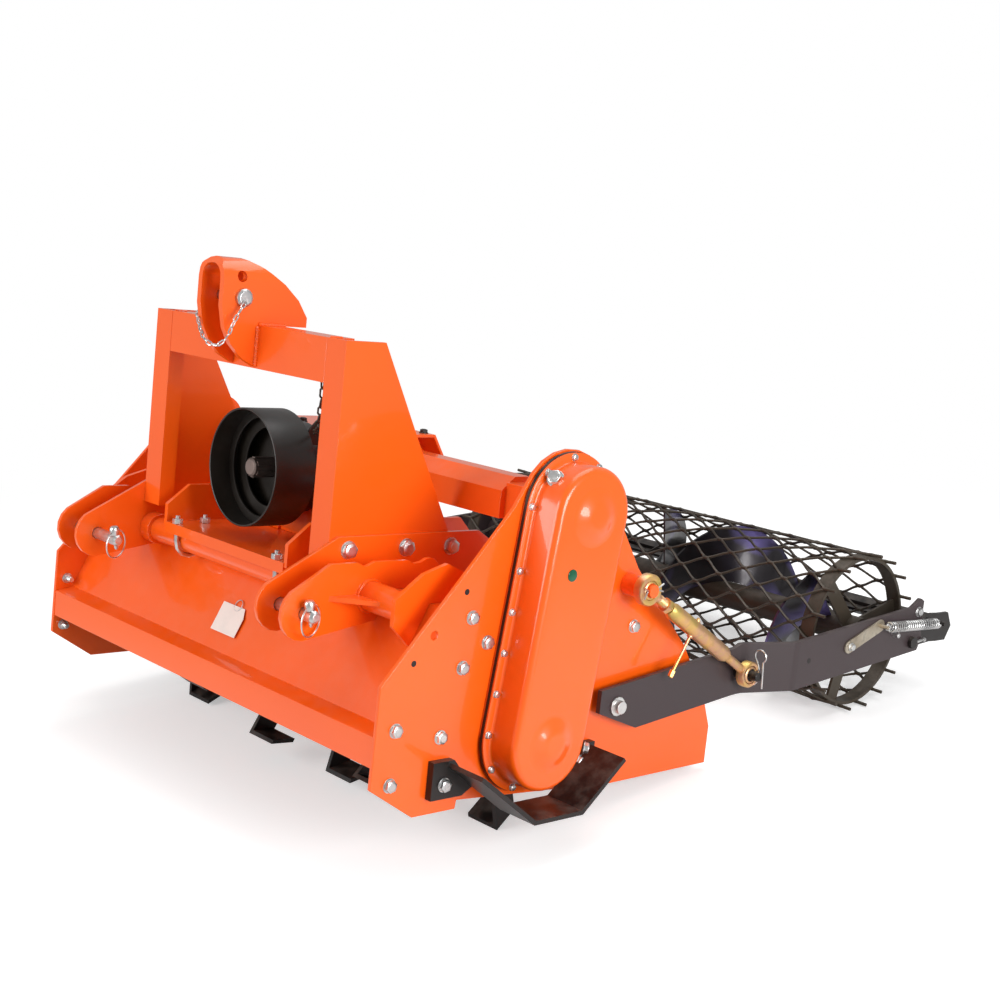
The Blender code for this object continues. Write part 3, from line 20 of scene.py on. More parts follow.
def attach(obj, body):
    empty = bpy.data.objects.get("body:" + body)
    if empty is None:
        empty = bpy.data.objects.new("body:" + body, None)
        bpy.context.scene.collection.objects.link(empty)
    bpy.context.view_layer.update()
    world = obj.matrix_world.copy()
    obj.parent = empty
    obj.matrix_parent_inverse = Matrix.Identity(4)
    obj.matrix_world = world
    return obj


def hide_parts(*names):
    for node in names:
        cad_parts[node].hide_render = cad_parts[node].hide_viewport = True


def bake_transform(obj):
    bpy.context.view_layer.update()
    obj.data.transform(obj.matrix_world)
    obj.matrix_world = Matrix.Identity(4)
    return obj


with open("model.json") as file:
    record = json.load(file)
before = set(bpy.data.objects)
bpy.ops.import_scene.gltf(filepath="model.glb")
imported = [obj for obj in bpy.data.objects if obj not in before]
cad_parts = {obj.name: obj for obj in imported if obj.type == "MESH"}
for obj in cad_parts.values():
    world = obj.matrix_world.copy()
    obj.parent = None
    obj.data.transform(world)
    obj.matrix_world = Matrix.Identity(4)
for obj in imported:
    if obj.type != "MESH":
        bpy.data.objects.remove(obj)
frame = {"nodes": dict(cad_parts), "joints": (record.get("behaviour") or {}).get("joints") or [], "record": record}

LOG = logging.getLogger("stone_burier")

Colour = tuple[float, float, float]
Point = tuple[float, float]
Place = tuple[float, float, float]

GAP = 0.0003
HAND_TURN = 37.0
FIRST_TURN = 11.0
SIDES = (1, -1)
SIDE_WORDS = ((1, "right"), (-1, "left"))
UPPER_SHAFT = (0.312, -0.250)
ROLLER_AXIS = (1.240, -0.538)
WHITE = (1.0, 1.0, 1.0)


class Axis(Enum):
    """The machine's three axes, as unit directions."""

    ACROSS = (1.0, 0.0, 0.0)
    BACK = (0.0, 1.0, 0.0)
    UP = (0.0, 0.0, 1.0)

    @property
    def vector(self) -> Vector:
        """The direction as a vector."""
        return Vector(self.value)


class Body(str, Enum):
    """The rigid bodies that pieces ride on."""

    MACHINE = "machine"
    INPUT = "input_shaft"
    ARMS = "roller_arms"
    ROLLER = "roller"
    SCRAPER = "scraper"


@dataclass(frozen=True)
class Lean:
    """Carries the machine's own axes into the frame."""

    matrix: Matrix

    @classmethod
    def from_joints(cls, joints: Sequence[dict], rotor_at: Point) -> "Lean":
        """Finds the lean from the input shaft's direction and the rotor's place.

        Args:
            joints: The frame's joints.
            rotor_at: The rotor's axis in the machine's own Y and Z.

        Returns:
            The lean that puts the rotor's axis where the frame has it.
        """
        named = {joint["name"]: joint for joint in joints}
        back = Vector(named["input_shaft_spin"]["axis"]).normalized()
        across = Axis.ACROSS.vector
        turn = Matrix((across, back, across.cross(back))).transposed()
        shift = Vector(named["rotor_spin"]["pos_m"]) - turn @ Vector((0.0, *rotor_at))
        return cls(Matrix.Translation(shift) @ turn.to_4x4())

    def point(self, place: Place | Vector) -> Vector:
        """A place in the frame."""
        return self.matrix @ Vector(place)


def arc(centre: Point, radius: float, start: float, end: float, steps: int) -> list[Point]:
    """Points on an arc.

    Args:
        centre: The arc's centre.
        radius: Its radius.
        start: The first angle, in degrees.
        end: The last angle, in degrees.
        steps: The number of chords.

    Returns:
        The points, both ends included.
    """
    turn = [radians(start + (end - start) * i / steps) for i in range(steps + 1)]
    return [(centre[0] + radius * cos(a), centre[1] + radius * sin(a)) for a in turn]


def aim(at: Place | Vector, along: Place | Vector, spin: float = 0.0) -> Matrix:
    """The placing of a shape whose own Z axis points along a direction.

    Args:
        at: Where the shape's origin goes.
        along: The direction of its Z axis.
        spin: A turn about that axis, in degrees.

    Returns:
        The placing as a matrix.
    """
    turn = Vector(along).normalized().to_track_quat("Z", "Y").to_matrix().to_4x4()
    return Matrix.Translation(Vector(at)) @ turn @ Matrix.Rotation(radians(spin), 4, "Z")


class Form:
    """A shape under construction: points and faces in the machine's axes."""

    def __init__(self, points: Iterable = (), faces: Iterable = ()) -> None:
        """Starts a shape from points and faces, or an empty one."""
        self.points = [Vector(p) for p in points]
        self.faces = [tuple(f) for f in faces]

    def add(self, other: "Form", placing: Matrix | None = None) -> "Form":
        """Adds another shape to this one.

        Args:
            other: The shape to add.
            placing: Where it goes, or None to leave it where it is drawn.

        Returns:
            This shape.
        """
        start = len(self.points)
        self.points += [placing @ p if placing else p.copy() for p in other.points]
        self.faces += [tuple(i + start for i in f) for f in other.faces]
        return self

    def placed(self, placing: Matrix) -> "Form":
        """A moved copy of this shape."""
        return Form((placing @ p for p in self.points), self.faces)

    def on_side(self, side: int) -> "Form":
        """This shape, drawn for the +X side, on the side that is asked for."""
        if side > 0:
            return self
        return Form(((-p.x, p.y, p.z) for p in self.points), (f[::-1] for f in self.faces))

    def crosswise(self, at: Point, x: float = 0.0) -> "Form":
        """A copy whose own Z axis points across the machine, from a place in Y and Z."""
        return self.placed(aim((x, *at), Axis.ACROSS.value))

    def mesh(self, name: str, lean: Lean) -> bpy.types.Mesh:
        """The finished mesh in the frame.

        Args:
            name: The mesh's name.
            lean: What carries the machine's axes into the frame.

        Returns:
            A mesh with its faces turned outwards.
        """
        made = bpy.data.meshes.new(name)
        made.from_pydata([lean.point(p) for p in self.points], [], self.faces)
        bm = bmesh.new()
        bm.from_mesh(made)
        bmesh.ops.recalc_face_normals(bm, faces=bm.faces)
        bm.to_mesh(made)
        bm.free()
        return made


def both_sides(form: Form) -> Form:
    """A shape drawn for the +X side, together with its mirror image."""
    return Form().add(form).add(form.on_side(-1))


def skinned(rings: Sequence[Sequence[Vector]], closed: bool = False, capped: bool = True) -> Form:
    """A skin over rings of equal counts of points.

    Args:
        rings: The rings in order.
        closed: Whether the last ring joins the first.
        capped: Whether an open skin's two ends are filled.

    Returns:
        The skin as a shape.
    """
    count = len(rings[0])
    points = [p for ring in rings for p in ring]
    faces = []
    for k in range(len(rings) if closed else len(rings) - 1):
        here, there = k * count, (k + 1) % len(rings) * count
        for i in range(count):
            j = (i + 1) % count
            faces.append((here + i, here + j, there + j, there + i))
    if capped and not closed:
        faces += [tuple(range(count))[::-1], tuple(range(len(points) - count, len(points)))]
    return Form(points, faces)


def turned(profile: Sequence[Point], sides: int = 24, closed: bool = False) -> Form:
    """A turned shape about its own Z axis.

    Args:
        profile: (height, radius) pairs from end to end.
        sides: The number of flats.
        closed: Whether the profile is a closed section, as a ring's is.

    Returns:
        The turned shape.
    """
    turn = [tau * i / sides for i in range(sides)]
    rings = [[Vector((r * cos(a), r * sin(a), h)) for a in turn] for h, r in profile]
    return skinned(rings, closed)


def extruded(outline: Sequence[Point], low: float, high: float) -> Form:
    """An outline in X and Y, drawn out along Z from low to high."""
    return skinned([[Vector((u, v, h)) for u, v in outline] for h in (low, high)])


def plate(outline: Sequence[Point], low: float, high: float) -> Form:
    """A plate across the machine: an outline in Y and Z between two places along X."""
    return skinned([[Vector((x, y, z)) for y, z in outline] for x in (low, high)])


def swept(path: Sequence, radius: float | Sequence[float], sides: int = 8, closed: bool = False) -> Form:
    """A round bar along a path.

    Args:
        path: The centreline's points.
        radius: The bar's radius, or one radius for each point.
        sides: The number of flats.
        closed: Whether the path is a loop.

    Returns:
        The bar as a shape.
    """
    line = [Vector(p) for p in path]
    radii = list(radius) if isinstance(radius, (list, tuple)) else [radius] * len(line)
    rings, across = [], None
    for i, here in enumerate(line):
        before = line[i - 1] if i or closed else here
        after = line[(i + 1) % len(line)] if closed or i < len(line) - 1 else here
        ahead = (after - before).normalized()
        across = ahead.orthogonal() if across is None else across
        across = (across - ahead * across.dot(ahead)).normalized()
        up = ahead.cross(across)
        turn = [tau * k / sides for k in range(sides)]
        rings.append([here + radii[i] * (cos(a) * across + sin(a) * up) for a in turn])
    return skinned(rings, closed)


def smooth_path(points: Sequence, steps: int = 6) -> list[Vector]:
    """A smooth line through given points, with a number of steps between each two."""
    line = [Vector(p) for p in points]
    padded = [2 * line[0] - line[1], *line, 2 * line[-1] - line[-2]]
    made = []
    for a, b, c, d in zip(padded, padded[1:], padded[2:], padded[3:]):
        for k in range(steps):
            t = k / steps
            made.append(0.5 * (2 * b + (c - a) * t + (2 * a - 5 * b + 4 * c - d) * t ** 2
                               + (3 * b - a - 3 * c + d) * t ** 3))
    return [*made, line[-1]]


def follow(line: Sequence[Point], at: float) -> float:
    """The height of a line of points, ordered along its first number, at a place along it."""
    for (a, low), (b, high) in zip(line, line[1:]):
        if at <= b:
            return low + (high - low) * (at - a) / (b - a)
    return line[-1][1]


def torus(ring_radius: float, wire_radius: float, turns: int = 28, sides: int = 8) -> Form:
    """A closed ring of round wire about its own Z axis."""
    path = [(ring_radius * cos(tau * i / turns), ring_radius * sin(tau * i / turns), 0) for i in range(turns)]
    return swept(path, wire_radius, sides, closed=True)


def weld_bead(start: Place, end: Place, size: float = 0.0035) -> Form:
    """A rippled weld bead from one place to another."""
    ripple, lean_in = 0.0042, 0.16
    a, b = Vector(start), Vector(end)
    steps = max(int((b - a).length / ripple) * 2, 4)
    radii = [size * (1.0 + (lean_in if i % 2 else -lean_in)) for i in range(steps + 1)]
    radii[0] = radii[-1] = size * 0.55
    return swept([a.lerp(b, i / steps) for i in range(steps + 1)], radii, 6)


@dataclass(frozen=True)
class Fastener:
    """A hexagon bolt or nut with its washer, seated on a face.

    Args:
        across: The hexagon's width over its flats.
        height: The hexagon's height.
        washer: The washer's outer radius.
        stud: How far a thread stands out of a nut, or 0 for a bolt's head.
    """

    across: float
    height: float
    washer: float
    stud: float = 0.0

    def form(self) -> Form:
        """The fastener standing on the XY plane."""
        plate_height = 0.0016
        corner = self.across / 2 / cos(pi / 6)
        top = plate_height + self.height
        chamfer = self.height * 0.14
        made = turned([(0.0, self.washer), (plate_height * 0.8, self.washer),
                       (plate_height, self.washer - 0.0004), (plate_height, corner * 0.5)], 28)
        made.add(turned([(plate_height * 0.9, corner * 0.97), (plate_height + chamfer, corner),
                         (top - chamfer, corner), (top, corner * 0.84)], 6))
        if self.stud:
            radius = self.across * 0.31
            made.add(turned([(top - 0.001, radius), (top + self.stud - 0.001, radius),
                             (top + self.stud, radius * 0.75)], 14))
            for k in range(int(self.stud / 0.0016)):
                low = top + 0.0016 * k
                made.add(turned([(low, radius), (low + 0.0008, radius * 1.09), (low + 0.0016, radius)], 14))
        else:
            made.add(turned([(top - 0.0004, corner * 0.62), (top + 0.0006, corner * 0.58),
                             (top + 0.0008, corner * 0.2)], 16))
        return made

    def at(self, place: Place, along: Place | Vector, spin: float = 0.0) -> Form:
        """The fastener on a face: its seat, the face's outward direction and its turn in degrees."""
        return self.form().placed(aim(place, along, spin))


M6 = Fastener(0.010, 0.0042, 0.0068)
M8 = Fastener(0.013, 0.0055, 0.0088)
M10 = Fastener(0.016, 0.0068, 0.0108)
M12 = Fastener(0.019, 0.0078, 0.0125)
M16 = Fastener(0.024, 0.0100, 0.0160)
NUT_10 = Fastener(0.016, 0.0080, 0.0110, 0.010)
NUT_12 = Fastener(0.019, 0.0100, 0.0128, 0.012)


def fasteners(kind: Fastener, places: Iterable[Place], along: Place) -> Form:
    """Equal fasteners on a face, each turned by a given step so that no two flats agree."""
    made = Form()
    for i, place in enumerate(places):
        made.add(kind.at(place, along, spin=HAND_TURN * i + FIRST_TURN))
    return made


def side_fasteners(kind: Fastener, face: float, places: Iterable[Point]) -> Form:
    """Equal fasteners on a face of the machine's +X side, at places in Y and Z."""
    return fasteners(kind, [(face, y, z) for y, z in places], Axis.ACROSS.value)


def hole_shade_disc(radius: float) -> Form:
    """A thin disc that stands for a bare hole, just off the face that it lies on: in black, it is painted shade
    for the inside of the hole.
    """
    return turned([(0.0001, radius), (0.0001 + GAP, radius)], 20)


def chain(path: Sequence, pitch: float, wire: float) -> Form:
    """A link chain along a path: welded links, each a quarter turn from the last.

    Args:
        path: The given points that the chain hangs through.
        pitch: The inner length of a link.
        wire: The wire's radius.

    Returns:
        All the links as one shape.
    """
    line = smooth_path(path, 24)
    along = [0.0]
    for a, b in zip(line, line[1:]):
        along.append(along[-1] + (b - a).length)
    made, count = Form(), int(along[-1] / pitch)
    half, round_end = pitch / 2 - wire * 0.4, wire * 2.1
    outline = [(half - round_end + u, v) for u, v in arc((0, 0), round_end, -90, 90, 6)]
    outline += [(u - half + round_end, v) for u, v in arc((0, 0), round_end, 90, 270, 6)]

    def at(distance: float) -> Vector:
        """The point at a distance along the hanging line."""
        k = max(i for i, s in enumerate(along) if s <= distance)
        if k == len(line) - 1:
            return line[-1]
        return line[k].lerp(line[k + 1], (distance - along[k]) / (along[k + 1] - along[k]))

    for n in range(count):
        a, b = at(n * pitch), at(min((n + 1) * pitch, along[-1]))
        link = swept([(0.0, v, u) for u, v in outline], wire, 6, closed=True)
        made.add(link, aim((a + b) / 2, b - a, spin=90.0 * (n % 2) + 25.0))
    return made


def hairpin_clip(length: float, wire: float) -> Form:
    """A spring clip: an eye, one straight leg and one leg with a hump, along its own Z axis."""
    eye = length * 0.17
    straight = [(0.0, -eye * 0.55, -length + eye), (0.0, -eye * 0.55, -eye * 0.8)]
    loop = [(0.0, u, v) for u, v in arc((0, 0), eye, 215, -35, 16)]
    waves = ((0.2, 0.34), (0.9, 0.50), (0.3, 0.64), (0.9, 0.78))
    humped = [(0.0, eye * 0.55, -eye * 0.9), *((0.0, eye * out, -length * down) for out, down in waves)]
    return swept(straight + loop + smooth_path(humped, 5), wire, 8)


def linch_pin(reach: float, ring_radius: float) -> Form:
    """A linch pin: a short peg through a shaft, its head, and the ring snapped over it.

    Args:
        reach: The peg's length below its head.
        ring_radius: The ring's radius.

    Returns:
        The pin, with its peg along its own -Z axis and its ring in the YZ plane.
    """
    made = turned([(-reach, 0.0022), (-reach + 0.003, 0.0040), (0.0, 0.0040), (0.001, 0.0085),
                   (0.012, 0.0095), (0.016, 0.0070), (0.017, 0.0020)], 18)
    ring = torus(ring_radius, 0.0016, 36, 8)
    made.add(ring, Matrix.Translation((0, 0, 0.008 - ring_radius)) @ Matrix.Rotation(pi / 2, 4, "Y"))
    return made


class Signal:
    """A number that a shader socket carries. Arithmetic on it adds Math nodes."""

    def __init__(self, graph: "Graph", socket: bpy.types.NodeSocket) -> None:
        """Wraps a socket of a graph."""
        self.graph = graph
        self.socket = socket

    def _math(self, operation: str, *terms: "Signal | float") -> "Signal":
        """A Math node on some terms."""
        return self.graph.node("ShaderNodeMath", {"operation": operation}, dict(enumerate(terms)))["Value"]

    def __add__(self, other: "Signal | float") -> "Signal":
        """The sum."""
        return self._math("ADD", self, other)

    __radd__ = __add__

    def __mul__(self, other: "Signal | float") -> "Signal":
        """The product."""
        return self._math("MULTIPLY", self, other)

    __rmul__ = __mul__

    def rise(self, start: float, end: float) -> "Signal":
        """This signal stretched so that start is 0 and end is 1, and held within that."""
        made = self.graph.node("ShaderNodeMapRange", {"interpolation_type": "SMOOTHSTEP"},
                               {"Value": self, "From Min": start, "From Max": end})
        return made["Result"]


class Outputs:
    """A node's outputs, read as signals by name or place."""

    def __init__(self, graph: "Graph", made: bpy.types.Node) -> None:
        """Wraps a node of a graph."""
        self.graph = graph
        self.made = made

    def __getitem__(self, key: str | int) -> Signal:
        """One output."""
        return Signal(self.graph, self.made.outputs[key])


class Graph:
    """The nodes of one material, world or lamp."""

    def __init__(self, owner: bpy.types.ID) -> None:
        """Starts on an owner of a node tree."""
        owner.use_nodes = True
        self.owner = owner
        self.tree = owner.node_tree

    @classmethod
    def material(cls, name: str) -> "Graph":
        """A new material with its Principled shader."""
        return cls(bpy.data.materials.new(name))

    def node(self, kind: str, settings: dict | None = None, values: dict | None = None) -> Outputs:
        """Adds a node.

        Args:
            kind: The node's type.
            settings: Its own settings. A ramp's stops are (place, colour) pairs.
            values: What its sockets take, by name or number: a value, or a signal.

        Returns:
            The node's outputs.
        """
        made = self.tree.nodes.new(kind)
        for name, value in (settings or {}).items():
            if name == "stops":
                self._set_stops(made.color_ramp.elements, value)
            else:
                setattr(made, name, value)
        for key, value in (values or {}).items():
            self.feed(made.inputs[key], value)
        return Outputs(self, made)

    def _set_stops(self, elements: bpy.types.ColorRampElements, stops: Sequence) -> None:
        """Gives a ramp its stops."""
        while len(elements) < len(stops):
            elements.new(1.0)
        for element, (place, colour) in zip(elements, stops):
            element.position = place
            element.color = (*colour, 1.0)

    def feed(self, socket: bpy.types.NodeSocket, value: "Signal | float | Colour") -> None:
        """Links a signal to a socket, or sets the socket's own value."""
        if isinstance(value, Signal):
            self.tree.links.new(value.socket, socket)
        elif isinstance(value, tuple) and len(value) == 3 and socket.type == "RGBA":
            socket.default_value = (*value, 1.0)
        else:
            socket.default_value = value

    def existing(self, name: str) -> bpy.types.Node:
        """A node that the tree starts with."""
        return self.tree.nodes[name]

    def place(self) -> Signal:
        """The surface point in the frame, in metres."""
        return self.node("ShaderNodeTexCoord")["Object"]

    def noise(self, scale: float, detail: float = 3.0, stretch: Place = (1.0, 1.0, 1.0)) -> Signal:
        """Cloudy noise from 0 to 1.

        Args:
            scale: Its lumps to the metre.
            detail: How many finer layers it has.
            stretch: How much denser it is along each axis.

        Returns:
            The noise as a signal.
        """
        where = self.node("ShaderNodeVectorMath", {"operation": "MULTIPLY"}, {0: self.place(), 1: stretch})
        return self.node("ShaderNodeTexNoise", {}, {"Vector": where["Vector"], "Scale": scale,
                                                    "Detail": detail, "Roughness": 0.55})["Fac"]

    def mix(self, share: "Signal | float", first: "Signal | Colour", second: "Signal | Colour") -> Signal:
        """A colour between two, by a share from 0 to 1."""
        return self.node("ShaderNodeMix", {"data_type": "RGBA"}, {0: share, 6: first, 7: second})[2]

    def ramp(self, value: Signal, stops: Sequence) -> Signal:
        """A colour from a value, through stops."""
        return self.node("ShaderNodeValToRGB", {"stops": stops}, {"Fac": value})["Color"]

    def facing_up(self) -> Signal:
        """1 where the surface faces up, 0 where it faces sideways or down."""
        normal = self.node("ShaderNodeNewGeometry")["Normal"]
        return self.node("ShaderNodeSeparateXYZ", {}, {"Vector": normal})["Z"].rise(0.25, 0.95)

    def bump(self, height: Signal, depth: float, strength: float = 1.0) -> Signal:
        """A bumped normal from a height signal and the depth of its relief in metres."""
        return self.node("ShaderNodeBump", {}, {"Height": height, "Distance": depth,
                                                "Strength": strength})["Normal"]


@dataclass(frozen=True)
class Finish:
    """One surface finish: a name, the record's slot and a base colour."""

    name: str
    slot: str
    colour: Colour

    def material(self) -> bpy.types.Material:
        """Builds the material.

        Returns:
            A new material with its shader wired.
        """
        graph = Graph.material(self.name)
        shader = graph.existing("Principled BSDF")
        for socket, value in self.surface(graph).items():
            graph.feed(shader.inputs[socket], value)
        return graph.owner

    def surface(self, graph: Graph) -> dict[str, Signal | float | Colour]:
        """What each of the shader's sockets takes."""
        return {"Base Color": self.colour}


@dataclass(frozen=True)
class Enamel(Finish):
    """Sprayed enamel on steel: orange peel, panel waves, thin dust on top and rubbed patches."""

    shade: Colour = (0.5, 0.5, 0.5)
    roughness: float = 0.30
    coat: float = 0.20
    coat_roughness: float = 0.07
    sheen: float = 0.36
    dust: float = 0.05
    peel: float = 0.00005
    waves: float = 0.0012
    dust_colour: Colour = (0.55, 0.47, 0.40)

    def surface(self, graph: Graph) -> dict[str, Signal | float | Colour]:
        """Paint that is deeper in places, duller where it is dusty or rubbed."""
        fading = graph.noise(2.6, 2.0).rise(0.30, 0.75)
        mottle = graph.noise(34.0, 4.0)
        rubbed = graph.noise(9.0, 5.0, (1.0, 0.35, 1.4)).rise(0.56, 0.74)
        settled = graph.facing_up() * mottle.rise(0.35, 0.70) * self.dust
        colour = graph.mix(fading * 0.55, self.colour, self.shade)
        colour = graph.mix(settled, colour, self.dust_colour)
        rough = self.roughness + mottle * 0.06 + rubbed * 0.05 + settled * 0.9
        peel = graph.noise(420.0, 1.0) * self.peel
        relief = peel + graph.noise(4.5, 1.0) * self.waves
        return {"Base Color": colour, "Roughness": rough, "Specular IOR Level": self.sheen,
                "Coat Weight": self.coat, "Coat Roughness": self.coat_roughness,
                "Normal": graph.bump(relief, 1.0)}


@dataclass(frozen=True)
class Plating(Finish):
    """Zinc plate on steel: cloudy sheen, fine pits and tarnish, in one or more tints."""

    tints: tuple[Colour, ...] = ((0.55, 0.55, 0.56), (0.78, 0.78, 0.76))
    roughness: float = 0.26
    tarnish: float = 0.15

    def surface(self, graph: Graph) -> dict[str, Signal | float | Colour]:
        """Metal whose tint drifts through its stops, with duller clouds."""
        cloud = graph.noise(22.0, 3.0)
        last = len(self.tints) - 1
        stops = [(0.28 + 0.44 * i / last, tint) for i, tint in enumerate(self.tints)]
        fine = graph.noise(260.0, 2.0)
        dull = graph.noise(60.0, 4.0).rise(0.50, 0.72)
        colour = graph.mix(dull * self.tarnish, graph.ramp(cloud, stops), (0.20, 0.18, 0.16))
        rough = self.roughness + fine * 0.10 + dull * 0.18
        return {"Base Color": colour, "Metallic": 1.0, "Roughness": rough,
                "Normal": graph.bump(fine, 0.00006)}


@dataclass(frozen=True)
class MillSteel(Finish):
    """Rolled steel under thin lacquer, with a blue to violet highlight painted into its colour along its rolling
    marks.
    """

    dark: Colour = (0.018, 0.015, 0.016)
    # The violet and pale colours are painted highlight: they stand in for the lit sheen on the flights.
    violet_highlight: Colour = (0.15, 0.12, 0.34)
    pale: Colour = (0.060, 0.050, 0.070)

    def surface(self, graph: Graph) -> dict[str, Signal | float | Colour]:
        """Bands of dark steel with painted violet and pale highlight, and fine rolling marks."""
        painted_highlight_bands = graph.noise(5.0, 2.0, (1.6, 1.0, 1.0))
        marks = graph.noise(90.0, 3.0, (0.2, 1.0, 1.0))
        # The violet and pale stops paint highlight into the steel's colour; the dark and base stops are its own.
        stops = [(0.30, self.dark), (0.50, self.colour), (0.64, self.violet_highlight), (0.80, self.pale)]
        tint = graph.ramp(painted_highlight_bands, stops)
        return {"Base Color": tint, "Metallic": 0.75, "Roughness": 0.24 + marks * 0.16,
                "Coat Weight": 0.4, "Coat Roughness": 0.15, "Normal": graph.bump(marks, 0.00012)}


@dataclass(frozen=True)
class Moulding(Finish):
    """Moulded plastic: fine grain and flow clouds."""

    roughness: float = 0.34

    def surface(self, graph: Graph) -> dict[str, Signal | float | Colour]:
        """Plastic with a soft bloom."""
        bloom = graph.noise(14.0, 4.0).rise(0.40, 0.75)
        grain = graph.noise(520.0, 1.0)
        lighter = tuple(min(1.0, c * 1.9 + 0.004) for c in self.colour)
        return {"Base Color": graph.mix(bloom * 0.5, self.colour, lighter),
                "Roughness": self.roughness + bloom * 0.12, "Normal": graph.bump(grain, 0.00004)}


@dataclass(frozen=True)
class Card(Finish):
    """Pale tag card with fibres and soiling."""

    def surface(self, graph: Graph) -> dict[str, Signal | float | Colour]:
        """Card that is a little uneven."""
        fibres = graph.noise(600.0, 3.0)
        soiling = graph.noise(30.0, 3.0).rise(0.45, 0.8)
        return {"Base Color": graph.mix(soiling * 0.35, self.colour, (0.62, 0.60, 0.55)), "Roughness": 0.62,
                "Normal": graph.bump(fibres, 0.00008)}


ORANGE = Enamel("orange_enamel", "orange_paint", (0.90, 0.112, 0.0025), shade=(0.84, 0.090, 0.0015),
                coat=0.62)
ARM_PAINT = Enamel("arm_enamel", "dark_paint", (0.046, 0.032, 0.034), shade=(0.036, 0.026, 0.028),
                   roughness=0.42, coat=0.08, dust=0.10, waves=0.0004)
WIRE_PAINT = Enamel("wire_enamel", "dark_paint", (0.050, 0.038, 0.026), shade=(0.026, 0.020, 0.014),
                    roughness=0.42, coat=0.10, dust=0.10, waves=0.0)
BLACK = Enamel("black_enamel", "black_enamel", (0.011, 0.008, 0.007), shade=(0.008, 0.006, 0.006),
               roughness=0.36, coat=0.12, dust=0.12, waves=0.0004)
GUARD = Moulding("guard_moulding", "black_enamel", (0.012, 0.0085, 0.006))
ZINC = Plating("bright_zinc", "bright_zinc", (0.70, 0.70, 0.70))
WORN_ZINC = Plating("worn_zinc", "bright_zinc", (0.55, 0.48, 0.38),
                    tints=((0.40, 0.33, 0.24), (0.62, 0.56, 0.46)), roughness=0.42, tarnish=0.45)
YELLOW = Plating("yellow_zinc", "yellow_zinc", (0.70, 0.48, 0.20),
                 tints=((0.62, 0.48, 0.14), (0.78, 0.50, 0.18), (0.72, 0.42, 0.26), (0.70, 0.52, 0.18)),
                 roughness=0.36)
OILED = Plating("oiled_steel", "bright_zinc", (0.14, 0.12, 0.11),
                tints=((0.16, 0.125, 0.11), (0.26, 0.20, 0.18)), roughness=0.52, tarnish=0.4)
# The flights' violet and pale bands are painted highlight.
FLIGHT = MillSteel("flight_steel", "flight_steel", (0.030, 0.026, 0.030))
SIGHT = Moulding("sight_glass", "black_enamel", (0.005, 0.075, 0.035), roughness=0.12)
TAG = Card("tag_card", "orange_paint", (0.82, 0.72, 0.66))


class Workshop:
    """Turns shapes into pieces of the scene: dresses them and sets them on their bodies."""

    def __init__(self, lean: Lean) -> None:
        """Starts with no materials."""
        self.lean = lean
        self.materials: dict[Finish, bpy.types.Material] = {}

    def dress(self, made: bpy.types.Object, finish: Finish) -> None:
        """Gives an object one finish."""
        if finish not in self.materials:
            self.materials[finish] = finish.material()
        made.data.materials.clear()
        made.data.materials.append(self.materials[finish])

    def soften(self, made: bpy.types.Object, bevel: float, limit: float) -> None:
        """Rounds the edges that are sharper than a limit.

        Args:
            made: The object.
            bevel: The rounding's width.
            limit: The least angle that counts as an edge, in degrees.
        """
        weld = made.modifiers.new("seams", "WELD")
        weld.merge_threshold = 0.00002
        rounding = made.modifiers.new("edges", "BEVEL")
        rounding.width = bevel
        rounding.segments = 2
        rounding.limit_method = "ANGLE"
        rounding.angle_limit = radians(limit)
        made.modifiers.new("shading", "WEIGHTED_NORMAL")

    def piece(self, name: str, form: Form, finish: Finish, body: Body | str | None, *,
              stands_for: Sequence[str] = (), bevel: float = 0.0, sharp: float = 38.0) -> bpy.types.Object:
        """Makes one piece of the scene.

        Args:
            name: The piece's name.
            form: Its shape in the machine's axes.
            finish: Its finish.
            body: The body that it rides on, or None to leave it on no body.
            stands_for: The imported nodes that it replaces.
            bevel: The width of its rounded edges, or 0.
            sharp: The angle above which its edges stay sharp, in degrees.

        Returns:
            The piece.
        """
        mesh = form.mesh(name, self.lean)
        mesh.shade_smooth()
        mesh.set_sharp_from_angle(angle=radians(sharp))
        made = bpy.data.objects.new(name, mesh)
        bpy.context.scene.collection.objects.link(made)
        self.dress(made, finish)
        if bevel:
            self.soften(made, bevel, sharp)
        if body is not None:
            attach(made, body.value if isinstance(body, Body) else body)
        if stands_for:
            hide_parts(*stands_for)
        LOG.info("%s: %d faces, %s", name, len(mesh.polygons), finish.name)
        return made


@dataclass
class PackedNodes:
    """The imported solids: their finishes and the rounding of their edges."""

    plate_edge: float = 0.0011
    fine_edge: float = 0.0006
    sharp: float = 33.0
    finishes: dict[str, Finish] = field(default_factory=lambda: {
        "orange_paint": ORANGE, "dark_paint": ARM_PAINT, "black_enamel": BLACK, "bright_zinc": ZINC,
        "yellow_zinc": YELLOW, "cast_grey": ORANGE, "flight_steel": FLIGHT})
    own_finish: dict[str, Finish] = field(default_factory=lambda: {
        "input_shaft": OILED, "scraper_pin_left": BLACK, "scraper_pin_right": BLACK})

    def build(self, shop: Workshop, nodes: dict[str, bpy.types.Object], record: dict) -> None:
        """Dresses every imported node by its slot.

        Args:
            shop: What makes and dresses pieces.
            nodes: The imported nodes.
            record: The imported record, which gives each node's slot.
        """
        slots = {row["node"]: row["material_slot"] for row in record["subparts"]}
        for name, made in sorted(nodes.items()):
            finish = self.own_finish.get(name) or self.finishes[slots[name]]
            shop.dress(made, finish)
            if "custom_normal" in made.data.attributes:
                made.data.attributes.remove(made.data.attributes["custom_normal"])
            made.data.shade_smooth()
            edge = self.plate_edge if finish in (ORANGE, ARM_PAINT) else self.fine_edge
            shop.soften(made, edge, self.sharp)
        LOG.info("packed nodes: %d dressed", len(nodes))


